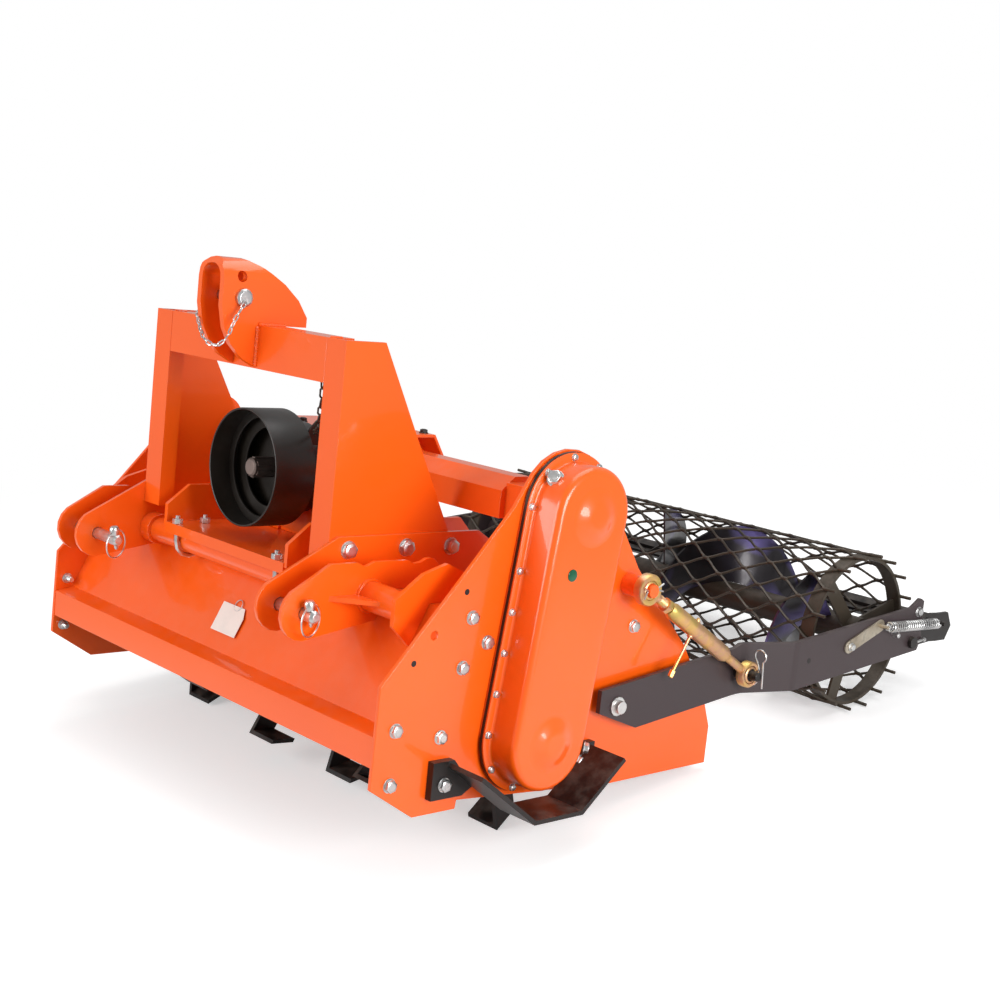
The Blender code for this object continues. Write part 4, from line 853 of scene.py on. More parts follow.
@dataclass
class HitchFrame:
    """Welds of the hitch frame, the upper pin's chain and clip, and the guard's chain on the beam."""

    bracket_half: float = 0.041
    beam_height: float = 0.077
    beam_depth: float = 0.058
    upright_inner: float = 0.248
    upper_pin: Point = (-0.036, 0.046)

    def build(self, shop: Workshop) -> None:
        """Makes the frame's small pieces."""
        shop.piece("hitch_welds", self.welds(), ORANGE, Body.MACHINE)
        shop.piece("upper_pin_chain", self.pin_chain(), ZINC, Body.MACHINE)
        shop.piece("upper_pin_clip", self.pin_clip(), ZINC, Body.MACHINE)
        shop.piece("beam_chain", self.beam_chain(), WIRE_PAINT, Body.MACHINE)

    def welds(self) -> Form:
        """Beads beside the bracket's legs and where the beam meets the uprights."""
        x, end = self.bracket_half + 0.0015, self.upright_inner
        made = weld_bead((x, -0.001, -self.beam_height + 0.003), (x, -0.001, -0.002), 0.004)
        made.add(weld_bead((x, 0.0, 0.0015), (x, self.beam_depth, 0.0015), 0.0035))
        made.add(weld_bead((end, 0.006, 0.0004), (end, self.beam_depth - 0.026, 0.0004), 0.0022))
        return both_sides(made)

    def pin_chain(self) -> Form:
        """The bright chain that keeps the upper pin on the machine."""
        path = [(0.054, -0.038, 0.041), (0.0605, -0.062, 0.008), (0.0756, -0.086, -0.023),
                (0.0595, -0.097, -0.0386), (0.0264, -0.100, -0.029), (-0.0273, -0.080, -0.0035),
                (-0.0667, -0.060, 0.0117)]
        return chain(path, pitch=0.0150, wire=0.0014)

    def pin_clip(self) -> Form:
        """The spring clip through the pin's far end."""
        y, z = self.upper_pin
        at = (-self.bracket_half - 0.016, y, z + 0.016)
        return hairpin_clip(length=0.060, wire=0.0016).placed(aim(at, (0, -0.25, 1), 80.0))

    def beam_chain(self) -> Form:
        """The dark chain that hangs from the beam to the guard's latch."""
        path = [(0.1964, 0.036, 0.003 - self.beam_height), (0.187, 0.045, -0.100), (0.1717, 0.055, -0.1277),
                (0.1500, 0.070, -0.1530), (0.110, 0.095, -0.180), (0.071, 0.122, -0.184)]
        return chain(path, pitch=0.021, wire=0.0019)


@dataclass
class LowerHitch:
    """Bolts, linch pins and welds of the two lower hitch ears, and the left side's own pin."""

    ear_face: float = 0.3103
    outer_face: float = 0.380
    left_head: float = 0.392
    left_tip: float = 0.234
    pin_stand: float = 0.017
    bolt_places: tuple[Point, ...] = ((0.036, -0.354), (0.163, -0.355), (0.267, -0.357))
    pin: Point = (-0.096, -0.439)
    stub: Point = (0.036, -0.418)
    stub_radius: float = 0.026
    stub_end: float = 0.478
    pin_radius: float = 0.011
    head_radius: float = 0.016
    tube: Point = (0.024, -0.4303)
    sleeve_radius: float = 0.030

    def left_link_pin(self) -> Form:
        """The left lower pin, put in from outside, with its head on the outer ear."""
        wide, thin, rounding = self.head_radius, self.pin_radius, 0.0014
        head, seat, tip = -self.left_head, -self.outer_face - GAP, 0.012 - self.left_tip
        profile = [(head, wide - rounding), (head + rounding, wide), (seat, wide),
                   (seat, thin), (tip - 0.005, thin), (tip, thin - 0.004)]
        return turned(profile, 32).crosswise(self.pin)

    def sleeves(self) -> Form:
        """The wider sleeves where the mounting tube meets the ears."""
        end = self.ear_face - 0.0087
        sleeve = turned([(end - 0.030, self.sleeve_radius), (end, self.sleeve_radius)], 36)
        return both_sides(sleeve.crosswise(self.tube))

    def build(self, shop: Workshop) -> None:
        """Makes the small pieces of both sides."""
        pins = Form()
        y, z = self.pin
        for side, x in ((1, self.outer_face + self.pin_stand), (-1, self.left_tip)):
            peg = linch_pin(reach=0.030, ring_radius=0.027)
            pins.add(peg.placed(aim((x, y - 0.002, z + 0.010), (0.10 * side, -0.25, 1))).on_side(side))
        bolts = both_sides(side_fasteners(M16, self.ear_face, self.bolt_places))
        shop.piece("hitch_bolts", bolts, ZINC, Body.MACHINE)
        shop.piece("left_link_pin", self.left_link_pin(), ZINC, Body.MACHINE,
                   stands_for=["lower_link_pin_left"])
        shop.piece("tube_sleeves", self.sleeves(), ORANGE, Body.MACHINE, bevel=0.0012)
        shop.piece("linch_pins", pins, ZINC, Body.MACHINE)
        shop.piece("ear_welds", both_sides(self.welds()), ORANGE, Body.MACHINE)

    def welds(self) -> Form:
        """Ring beads round the stub tube's two ends."""
        made, size, steps = Form(), 0.0030, 60
        ripples = [size * (1.15 if i % 2 else 0.85) for i in range(steps)]
        for x in (self.outer_face + 0.001, self.stub_end - 0.002):
            loop = [(x, *p) for p in arc(self.stub, self.stub_radius + 0.001, 0, 360, steps)[:-1]]
            made.add(swept(loop, ripples, 6, closed=True))
        return made


@dataclass
class SidePlates:
    """The left side plate, and the bolts of both, with black discs painted as the shade inside their bare holes.
    """

    face: float = 0.541
    bolt_places: tuple[Point, ...] = ((0.124, -0.424), (0.163, -0.469), (0.113, -0.508), (-0.017, -0.599),
                                      (0.080, -0.622), (-0.019, -0.690), (0.523, -0.470))
    shoe_places: tuple[Point, ...] = ((0.086, -0.700), (0.406, -0.705))
    shoe_stand: float = 0.0143
    inner_face: float = 0.533
    inner_places: tuple[Point, ...] = ((-0.031, -0.582), (-0.034, -0.680))
    hole_places: tuple[Point, ...] = ((0.107, -0.380), (0.008, -0.491))
    hole_radius: float = 0.0052
    front_edge: tuple[Point, ...] = ((-0.057, -0.694), (-0.055, -0.524), (0.119, -0.329), (0.194, -0.243))
    rear_edge: tuple[Point, ...] = ((0.519, -0.363), (0.675, -0.521), (0.753, -0.634), (0.777, -0.690),
                                    (0.777, -0.764), (0.510, -0.766), (0.131, -0.738), (0.129, -0.753),
                                    (0.036, -0.753))
    beam: Point = UPPER_SHAFT
    left_top: float = 0.058
    ear: Point = (0.499, -0.390)
    ear_radius: float = 0.034

    def left_plate(self) -> Form:
        """The left plate, with a lower top than the one behind the chain case."""
        outline = [*self.front_edge, *arc(self.beam, self.left_top, 142, 32, 12), *self.rear_edge]
        ear = turned([(self.inner_face + GAP, self.ear_radius), (self.face - GAP, self.ear_radius)], 32)
        return plate(outline, self.inner_face, self.face).add(ear.crosswise(self.ear)).on_side(-1)

    def build(self, shop: Workshop) -> None:
        """Makes the left plate and the fasteners of both sides."""
        bolts = both_sides(side_fasteners(M12, self.face, self.bolt_places))
        bolts.add(side_fasteners(NUT_10, -self.inner_face, self.inner_places))
        shoe_bolts = both_sides(side_fasteners(M12, self.face + self.shoe_stand, self.shoe_places))
        # The black discs paint the shade inside the plates' bare holes.
        hole_shades = Form()
        for place in self.hole_places:
            hole_shades.add(hole_shade_disc(self.hole_radius).crosswise(place, self.face))
        shop.piece("left_side_plate", self.left_plate(), ORANGE, Body.MACHINE, stands_for=["side_plate_left"],
                   bevel=0.0011, sharp=33.0)
        shop.piece("side_bolts", bolts, ZINC, Body.MACHINE)
        shop.piece("shoe_bolts", shoe_bolts, ZINC, Body.MACHINE)
        shop.piece("side_hole_shades", both_sides(hole_shades), BLACK, Body.MACHINE)


@dataclass
class HingeCover:
    """The lip of the hood's tail, bent over the levelling board's hinge."""

    hinge: Point = (0.686, -0.568)
    tail: Point = (0.6655, -0.5452)
    inner_radius: float = 0.0112
    thickness: float = 0.0016
    half_width: float = 0.531

    def build(self, shop: Workshop) -> None:
        """Makes the lip over the board's whole width."""
        outer = arc(self.hinge, self.inner_radius + self.thickness, 115, 10, 9)
        inner = arc(self.hinge, self.inner_radius, 10, 115, 9)
        below = (self.tail[0] - self.thickness, self.tail[1] - self.thickness)
        lip = plate([self.tail, *outer, *inner, below], -self.half_width, self.half_width)
        shop.piece("hinge_cover", lip, ORANGE, Body.MACHINE)


@dataclass
class ChainCase:
    """The pressed cover of the chain case, its black gasket ring, partly painted shade of the gap under its
    flange, and its bolts, plugs and sight glass.
    """

    upper: Point = UPPER_SHAFT
    lower: Point = (0.267, -0.637)
    start: float = 0.5513
    flange_radius: float = 0.101
    body_radius: float = 0.085
    flange_height: float = 0.004
    depth: float = 0.064
    edge_radius: float = 0.013
    foot_radius: float = 0.005
    dome_radius: float = 0.052
    dome_height: float = 0.010
    bolt_circle: float = 0.0935
    arc_steps: int = 40

    @property
    def lean(self) -> float:
        """The case's lean from upright, in degrees."""
        return degrees(atan2(self.lower[0] - self.upper[0], self.upper[1] - self.lower[1]))

    def loop(self, x: float, radius: float) -> list[Vector]:
        """The case's outline at a place along X: two arcs about its shafts."""
        line = arc(self.upper, radius, 180 + self.lean, self.lean, self.arc_steps)
        line += arc(self.lower, radius, self.lean, self.lean - 180, self.arc_steps)
        return [Vector((x, y, z)) for y, z in line]

    def build(self, shop: Workshop) -> None:
        """Makes the cover and all that is on it."""
        shop.piece("case_cover", self.cover(), ORANGE, Body.MACHINE,
                   stands_for=["chain_case_cover"], sharp=50.0)
        # The gasket's black ring is partly the joint and partly painted shade of the gap under the flange.
        shop.piece("case_gasket_gap_shade", self.gasket_gap_shade(), BLACK, Body.MACHINE)
        shop.piece("case_bolts", self.bolts(), ZINC, Body.MACHINE)
        shop.piece("sight_glass", self.sight(), SIGHT, Body.MACHINE)

    def cover(self) -> Form:
        """Flange, rounded foot, wall, rounded edge, flat face and two pressed domes."""
        wall = self.body_radius
        sections = [(0.0, self.flange_radius), (self.flange_height - 0.0006, self.flange_radius),
                    (self.flange_height, self.flange_radius - 0.0008)]
        foot = (self.flange_height + self.foot_radius, wall + self.foot_radius)
        sections += arc(foot, self.foot_radius, 180, 270, 5)
        edge = self.depth - self.edge_radius
        sections += arc((edge, wall - self.edge_radius), self.edge_radius, 90, 0, 8)
        sections += [(self.depth, wall * 0.66)]
        made = skinned([self.loop(self.start + h, r) for h, r in sections])
        face = self.start + self.depth
        for centre in (self.upper, self.lower):
            made.add(self.dome().placed(aim((face, *centre), Axis.ACROSS.value)))
        return made

    def dome(self) -> Form:
        """A shallow pressed dome with a soft rim."""
        steps = 9
        profile = [(-0.002, self.dome_radius)]
        for i in range(steps + 1):
            share = i / steps
            height = self.dome_height * (0.5 - 0.5 * cos(pi * share))
            profile.append((height, self.dome_radius * (1 - share * 0.72)))
        profile.append((self.dome_height * 1.0, 0.001))
        return turned(profile, 48)

    def gasket_gap_shade(self) -> Form:
        """The dark joint under the cover's flange: a black ring that is partly the joint and partly painted shade
        of the gap between flange and plate.
        """
        low, high, radius = self.start - 0.0060, self.start - 0.0002, self.flange_radius + 0.0008
        return skinned([self.loop(low, radius), self.loop(high, radius)])

    def bolts(self) -> Form:
        """Small bolts all round the flange, and the filler and drain plugs."""
        seat = self.start + self.flange_height
        made = Form()
        rear = 180.0
        turns = [(self.upper, a + self.lean) for a in (rear, 140, 100, 60, 20)]
        turns += [(self.lower, a + self.lean) for a in (rear, 220, 262, 304, 345)]
        places = [(c[0] + self.bolt_circle * cos(radians(a)), c[1] + self.bolt_circle * sin(radians(a)))
                  for c, a in turns]
        front, back = self._straight(rear), self._straight(0.0)
        places += [front(t) for t in (0.28, 0.46, 0.64, 0.82)] + [back(t) for t in (0.16, 0.36, 0.56, 0.76)]
        made.add(side_fasteners(M6, seat, places))
        filler = Fastener(0.022, 0.010, 0.0150)
        made.add(filler.at((self.start + 0.020, 0.251, -0.190), (0.35, -0.8, 0.5), 10))
        made.add(M10.at((self.start + self.depth - 0.004, 0.352, -0.655), (0.8, 0.6, -0.05), 20))
        return made

    def _straight(self, angle: float):
        """A line along one straight side of the bolt outline, as a function of its share."""
        a = radians(angle + self.lean)
        step = (self.bolt_circle * cos(a), self.bolt_circle * sin(a))

        def at(share: float) -> Point:
            """The place at a share of the way down."""
            y = self.upper[0] + (self.lower[0] - self.upper[0]) * share + step[0]
            z = self.upper[1] + (self.lower[1] - self.upper[1]) * share + step[1]
            return (y, z)

        return at

    def sight(self) -> Form:
        """The round green level glass on the cover's face."""
        at = (self.start + self.depth, 0.271, -0.346)
        return turned([(0.0, 0.0105), (0.0012, 0.0105), (0.0018, 0.0090), (0.0016, 0.0010)], 24).placed(
            aim(at, Axis.ACROSS.value))


@dataclass
class Drive:
    """The round guard, the gearbox's lid, ribs and bolts, and the input shaft's splines."""

    shaft_z: float = -0.262
    half_width: float = 0.078
    front: float = 0.150
    rear: float = 0.382
    lid_top: float = -0.1815
    lid_half: float = 0.106
    base_top: float = -0.398
    spline_count: int = 6

    guard: tuple[Point, ...] = (
        (0.0170, 0.1080), (0.0178, 0.1090), (0.1015, 0.1090), (0.1032, 0.1083), (0.1040, 0.1065),
        (0.1040, 0.0850), (0.1497, 0.0850), (0.1497, 0.0815), (0.1040, 0.0815), (0.1040, 0.0240),
        (0.1005, 0.0240), (0.1005, 0.1055), (0.0785, 0.1055), (0.0785, 0.0735), (0.0780, 0.0730),
        (0.0755, 0.0730), (0.0750, 0.0735), (0.0750, 0.1055), (0.0625, 0.1055), (0.0625, 0.0920),
        (0.0620, 0.0915), (0.0595, 0.0915), (0.0590, 0.0920), (0.0590, 0.1055), (0.0178, 0.1055),
        (0.0170, 0.1065))
    latch: tuple[Point, ...] = ((0.106, -0.214), (0.106, -0.190), (0.128, -0.166), (0.149, -0.166),
                                (0.149, -0.214))
    lid: tuple[Point, ...] = ((0.150, -0.1876), (0.150, -0.1816), (0.364, -0.1816), (0.397, -0.2330),
                              (0.392, -0.2362), (0.361, -0.1876))
    lid_reach: float = 0.128

    def build(self, shop: Workshop) -> None:
        """Makes the guard and the drive's small pieces."""
        across = plate(self.latch, 0.062, 0.068)
        shop.piece("round_guard", self.round_guard(), GUARD, Body.MACHINE,
                   stands_for=["shaft_guard"], sharp=40.0)
        shop.piece("guard_latch", across, GUARD, Body.MACHINE, bevel=0.0008)
        lid = plate(self.lid, -self.lid_reach, self.lid_reach)
        shop.piece("gearbox_lid", lid, ORANGE, Body.MACHINE, bevel=0.0012)
        shop.piece("gearbox_bolts", self.bolts(), ZINC, Body.MACHINE)
        shop.piece("lid_bolts", self.lid_bolts(), BLACK, Body.MACHINE)
        shop.piece("gearbox_ribs", self.ribs(), ORANGE, Body.MACHINE, bevel=0.0012)
        shop.piece("shaft_splines", self.splines(), OILED, Body.INPUT)

    def round_guard(self) -> Form:
        """The guard's drum with its two inner rings, its closed back and its neck."""
        return turned(self.guard, 84, closed=True).placed(aim((0.0, 0.0, self.shaft_z), Axis.BACK.value))

    def bolts(self) -> Form:
        """Bolts of the gearbox's side flanges and its feet, and the breather."""
        made = Form()
        breather = turned([(0.0, 0.009), (0.010, 0.009), (0.012, 0.012), (0.020, 0.012), (0.024, 0.006)], 18)
        made.add(breather, aim((0.0, self.rear - 0.090, self.lid_top), Axis.UP.value))
        for side in SIDES:
            ring = arc(UPPER_SHAFT, 0.036, 20, 380, 6)[:-1]
            made.add(side_fasteners(M8, self.half_width + 0.012, ring).on_side(side))
            feet = [(0.150, y, self.base_top) for y in (0.185, 0.350)]
            made.add(fasteners(NUT_12, feet, Axis.UP.value).on_side(side))
        return made

    def lid_bolts(self) -> Form:
        """The dark bolts that hold the lid over the gearbox."""
        places = [(x * side, y, self.lid_top) for side in SIDES for x in (0.040, self.lid_half)
                  for y in (self.front + 0.024, self.rear - 0.030)]
        return fasteners(M8, places, Axis.UP.value)

    def ribs(self) -> Form:
        """Cast ribs down the gearbox's sides and the feet's flange plates."""
        made = Form()
        for side in SIDES:
            for y in (0.190, 0.345):
                rib = [(self.half_width - 0.002, self.base_top + 0.012), (0.104, self.base_top + 0.012),
                       (self.half_width - 0.002, self.base_top + 0.120)]
                faces = [[Vector((x, y + d, z)) for x, z in rib] for d in (-0.005, 0.005)]
                made.add(skinned(faces).on_side(side))
            foot = [(self.half_width, 0.164), (0.172, 0.172), (0.172, 0.366), (self.half_width, 0.372)]
            made.add(extruded(foot, self.base_top + GAP, self.base_top + 0.012).on_side(side))
        return made

    def splines(self) -> Form:
        """Straight splines round the input shaft."""
        made = Form()
        for k in range(self.spline_count):
            turn = Matrix.Rotation(tau * k / self.spline_count, 4, "Y")
            corners = [(x, y, z) for x in (-0.0045, 0.0045) for y in (0.041, 0.098) for z in (0.015, 0.0190)]
            key = Form(corners, ((0, 1, 3, 2), (4, 6, 7, 5), (0, 4, 5, 1), (2, 3, 7, 6), (1, 5, 7, 3),
                                 (0, 2, 6, 4)))
            made.add(key, Matrix.Translation((0, 0, self.shaft_z)) @ turn)
        return made


@dataclass
class Roller:
    """The wire drum with its staggered knots and forked ends, its core and its two flights."""

    centre: Point = ROLLER_AXIS
    radius: float = 0.1645
    wire: float = 0.0029
    knots_round: int = 18
    pitch: float = 0.108
    bays: int = 10
    stub: float = 0.024
    knot_half: float = 0.009
    first_turn: float = 0.25
    core_radius: float = 0.030
    axle_radius: float = 0.0125
    axle_end: float = 0.6046
    hoop_radius: float = 0.1612
    hoop_thickness: float = 0.007
    hoop_width: float = 0.032
    hoop_end: float = 0.542
    spoke_angles: tuple[float, ...] = (15.0, 135.0, 255.0)
    spoke_half: float = 0.017
    spoke_x: float = 0.522
    spoke_thickness: float = 0.006
    flight_start: float = 0.006
    flight_end: float = 0.480
    flight_pitch: float = 0.330
    flight_thickness: float = 0.005
    flight_starts: dict[int, float] = field(default_factory=lambda: {1: 287.0, -1: 100.0})
    steps_in_turn: int = 64

    def build(self, shop: Workshop, pitch_turn: float) -> None:
        """Makes the drum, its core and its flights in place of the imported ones.

        Args:
            shop: What makes pieces.
            pitch_turn: The machine's lean in radians, which turns the drum onto its flats.
        """
        shop.piece("wire_drum", self.drum(pitch_turn), WIRE_PAINT, Body.ROLLER,
                   stands_for=["roller_mesh"], sharp=60.0)
        shop.piece("auger_core", self.core(), WIRE_PAINT, Body.ROLLER, stands_for=["roller_core"], sharp=40.0)
        for side, word in SIDE_WORDS:
            ribbon = self.ribbon(self.flight_starts[side]).on_side(side)
            shop.piece(f"auger_{word}", ribbon, FLIGHT, Body.ROLLER,
                       stands_for=[f"flight_{word}"], sharp=50.0)

    def core(self) -> Form:
        """The core pipe with its stub axles, and the end hoops on three spokes each."""
        pipe, axle = self.hoop_end - 0.001 + 0.011, self.axle_end
        profile = [(-axle, self.axle_radius), (-pipe, self.axle_radius), (-pipe, self.core_radius),
                   (pipe, self.core_radius), (pipe, self.axle_radius), (axle, self.axle_radius)]
        placing = aim((0.0, *self.centre), Axis.ACROSS.value)
        made = turned(profile, 40).placed(placing)
        outer, inner = self.hoop_radius, self.hoop_radius - self.hoop_thickness
        start, end = self.hoop_end - self.hoop_width, self.hoop_end
        section = [(start, inner), (start, outer), (end, outer), (end, inner)]
        hoop = turned(section, 96, closed=True).placed(placing)
        half, low = self.spoke_half, self.spoke_x
        for side in SIDES:
            made.add(hoop.on_side(side))
            for angle in self.spoke_angles:
                spoke = plate([(0.026, -half), (inner + 0.002, -half), (inner + 0.002, half), (0.026, half)],
                              low, low + self.spoke_thickness)
                turn = Matrix.Translation((0.0, *self.centre)) @ Matrix.Rotation(radians(angle), 4, "X")
                made.add(spoke.placed(turn).on_side(side))
        return made

    def ribbon(self, first: float) -> Form:
        """One auger flight, wound round the core outwards from the middle.

        Args:
            first: Its angle at the middle, in degrees.

        Returns:
            The flight on the +X side.
        """
        turns = (self.flight_end - self.flight_start) / self.flight_pitch
        steps = int(self.steps_in_turn * turns)
        y, z = self.centre
        inner, outer = self.core_radius + 0.0006, self.hoop_radius - 0.0006
        radii = (inner, (inner + outer) / 2, outer)
        section = [(r, 0.0) for r in radii] + [(r, 1.0) for r in radii[::-1]]
        rings = []
        for k in range(steps + 1):
            share = k / steps
            a = radians(first) - tau * turns * share
            x = self.flight_start + (self.flight_end - self.flight_start) * share
            rings.append([Vector((x + self.flight_thickness * t, y + r * cos(a), z + r * sin(a)))
                          for r, t in section])
        return skinned(rings)

    def spot(self, x: float, angle: float, lift: float = 0.0) -> Vector:
        """A point on the drum's surface."""
        y, z = self.centre
        r = self.radius + lift
        return Vector((x, y + r * cos(angle), z + r * sin(angle)))

    def strand(self, start: tuple[float, float], end: tuple[float, float]) -> Form:
        """One strand between two knots: straight along the drum's skin, with soft bends at its ends."""
        steps, path = 4, []
        for i in range(steps + 1):
            t = i / steps
            ease = t * t * (3 - 2 * t) * 0.35 + t * 0.65
            path.append(self.spot(start[0] + (end[0] - start[0]) * t, start[1] + (end[1] - start[1]) * ease))
        return swept(path, [self.wire * 1.12, self.wire, self.wire * 0.96, self.wire, self.wire * 1.12], 6)

    def drum(self, pitch_turn: float) -> Form:
        """All the strands, knots and forked stubs."""
        made = Form()
        turn = tau / self.knots_round
        first = -pi / 2 + pitch_turn + turn * self.first_turn
        start_x = -self.pitch * self.bays / 2
        columns = 2 * self.bays + 1
        spread = self.wire / self.radius
        for j in range(columns):
            x = start_x + j * self.pitch / 2
            for i in range(self.knots_round):
                angle = first + turn * (i + (0.5 if j % 2 else 0.0))
                way = -1 if j == 0 else 1
                reach = self.knot_half
                ends = (x - reach, x + reach)
                if j in (0, columns - 1):
                    ends = (x - way * reach, x + way * self.stub)
                    steps = (0.0, 0.25, 0.45, 1.0)
                    radii = [self.wire * s for s in (1.3, 1.5, 1.35, 1.4)]
                    path = [self.spot(ends[0] + (ends[1] - ends[0]) * t, angle, 0.001 * t) for t in steps]
                    made.add(swept(path, radii, 6))
                else:
                    path = [self.spot(ends[0] + (ends[1] - ends[0]) * t, angle) for t in (0.0, 0.5, 1.0)]
                    made.add(swept(path, [self.wire * s for s in (1.15, 1.7, 1.15)], 6))
                if j == columns - 1:
                    continue
                for hand in (1, -1):
                    other = angle + hand * turn / 2
                    made.add(self.strand((x + reach * 0.7, angle + hand * spread * 0.8),
                                         (x + self.pitch / 2 - reach * 0.7, other - hand * spread * 0.8)))
        return made


@dataclass
class Arms:
    """The two arms with their soft jogs, their bolts, black discs painted as the shade inside their holes, and the
    scraper pins' clips.
    """

    inner_face: float = 0.556
    thickness: float = 0.010
    jog: float = 0.050
    top: tuple[Point, ...] = ((0.432, -0.576), (0.799, -0.530), (0.816, -0.523), (0.921, -0.518),
                              (1.322, -0.476), (1.352, -0.458), (1.364, -0.464), (1.3650, -0.520),
                              (1.3715, -0.543))
    bottom: tuple[Point, ...] = ((0.432, -0.618), (0.533, -0.656), (0.800, -0.625), (0.939, -0.615),
                                 (1.360, -0.572), (1.3715, -0.547))
    bend: tuple[Point, ...] = ((0.432, 0.0), (0.820, 0.0), (0.830, 0.0014), (0.838, 0.0052), (0.916, 0.0448),
                               (0.924, 0.0486), (0.934, 0.0500), (1.3715, 0.0500))
    roller: Point = ROLLER_AXIS
    tail_bolt: Point = (1.346, -0.486)
    lever_bolt: Point = (1.105, -0.541)
    lever_lift: float = 0.0046
    hole: Point = (0.972, -0.559)
    hole_radius: float = 0.0055

    def build(self, shop: Workshop) -> None:
        """Makes both arms and their small pieces."""
        face = self.inner_face + self.jog + self.thickness
        for side, word in SIDE_WORDS:
            shop.piece(f"roller_arm_{word}", self.arm().on_side(side), ARM_PAINT, Body.ARMS,
                       stands_for=[f"arm_{word}"], bevel=0.0012, sharp=30.0)
        # The black discs paint the shade inside the arms' bare holes.
        bolts, hole_shades = Form(), Form()
        for side in SIDES:
            bolts.add(side_fasteners(M8, face + self.lever_lift, [self.lever_bolt]).on_side(side))
            bolts.add(side_fasteners(M10, face, [self.tail_bolt]).on_side(side))
            hole_shades.add(hole_shade_disc(self.hole_radius).crosswise(self.hole, face).on_side(side))
        shop.piece("arm_bolts", bolts, ZINC, Body.ARMS)
        shop.piece("scraper_pin_clips", self.pin_clips(), ZINC, Body.ARMS)
        shop.piece("arm_hole_shades", hole_shades, BLACK, Body.ARMS)


    def pin_clips(self) -> Form:
        """The headed clips in the scraper pins' ends, and the pegs that hold the springs off."""
        made = Form()
        peg = turned([(0.0, 0.0052), (0.013, 0.0052), (0.0145, 0.0040)], 20)
        shank, head = 0.0030, 0.0052
        clip = turned([(-0.012, shank), (0.034, shank), (0.034, head), (0.042, head), (0.043, 0.0040)], 18)
        face = self.inner_face + self.jog + self.thickness
        for side in SIDES:
            made.add(peg.placed(aim((face, 1.262, -0.529), Axis.ACROSS.value)).on_side(side))
            made.add(clip.placed(aim((face + 0.0060, 1.333, -0.552), (0.0, 1.0, 0.10))).on_side(side))
        return made

    def arm(self) -> Form:
        """The arm's plate with its soft jog, and the bearing seat on its inner face."""
        places = sorted({y for line in (self.top, self.bottom, self.bend) for y, _ in line})
        rings = []
        for y in places:
            x = self.inner_face + follow(self.bend, y)
            high, low = follow(self.top, y), follow(self.bottom, y)
            far = x + self.thickness
            rings.append([Vector((u, y, v)) for u, v in ((x, high), (far, high), (far, low), (x, low))])
        seat_end = self.inner_face + self.jog
        seat = turned([(seat_end - 0.024, 0.0130), (seat_end - 0.024, 0.0285), (seat_end - 0.0225, 0.030),
                       (seat_end + 0.002, 0.030), (seat_end + 0.002, 0.0130)], 32, closed=True)
        return skinned(rings).add(seat, aim((0.0, *self.roller), Axis.ACROSS.value))


@dataclass
class Springs:
    """The two coil springs that pull the scraper onto its stop, and the straps that hold them."""

    x: float = 0.633
    hook: Point = (1.204, -0.505)
    stud: Point = (1.412, -0.513)
    coil_radius: float = 0.0100
    wire: float = 0.0019
    turns: int = 22
    steps_in_turn: int = 12
    tail: Point = (1.100, -0.542)
    strap_half: float = 0.0132
    strap_faces: Point = (0.6163, 0.6203)
    peg_radius: float = 0.0042

    def build(self, shop: Workshop) -> None:
        """Makes the straps, and the springs that run from the arms to the scraper."""
        for side, word in SIDE_WORDS:
            shop.piece(f"lever_strap_{word}", self.strap().on_side(side), WORN_ZINC, Body.ARMS,
                       stands_for=[f"spring_lever_{word}"], bevel=0.0006)
            made = shop.piece(f"coil_spring_{word}", self.coil().on_side(side), ZINC, None,
                              stands_for=[f"spring_{word}"], sharp=60.0)
            start = shop.lean.point((0.0, self.hook[0] + 0.03, self.hook[1]))
            end = shop.lean.point((0.0, self.stud[0] - 0.02, self.stud[1]))
            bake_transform(made)

    def strap(self) -> Form:
        """The lever's round-ended strap, and the peg that holds the spring."""
        slope = degrees(atan2(self.hook[1] - self.tail[1], self.hook[0] - self.tail[0]))
        outline = (arc(self.tail, self.strap_half, slope + 90, slope + 270, 8)
                   + arc(self.hook, self.strap_half, slope - 90, slope + 90, 8))
        peg = turned([(self.strap_faces[0], self.peg_radius), (self.x + 0.006, self.peg_radius)], 16)
        return plate(outline, *self.strap_faces).add(peg, aim((0.0, *self.hook), Axis.ACROSS.value))

    def coil(self) -> Form:
        """An open coil with a half hook at each end."""
        a = Vector((self.x, self.hook[0] + 0.012, self.hook[1] - 0.001))
        b = Vector((self.x, self.stud[0] - 0.014, self.stud[1] + 0.001))
        along = (b - a).normalized()
        across = Axis.ACROSS.vector
        up = across.cross(along)
        count = self.turns * self.steps_in_turn
        path = []
        for i in range(count + 1):
            angle = tau * i / self.steps_in_turn
            path.append(a.lerp(b, i / count) + self.coil_radius * (cos(angle) * across + sin(angle) * up))
        made = swept(path, self.wire, 6)
        for end, way in ((a, -1), (b, 1)):
            loop = [end + along * way * (0.006 + 0.0058 * sin(radians(t))) + up * 0.0058 * cos(radians(t))
                    for t in range(0, 300, 25)]
            start = [end + across * self.coil_radius * 0.6, end + along * way * 0.002 + up * 0.004]
            made.add(swept(start + loop, self.wire, 6))
        return made


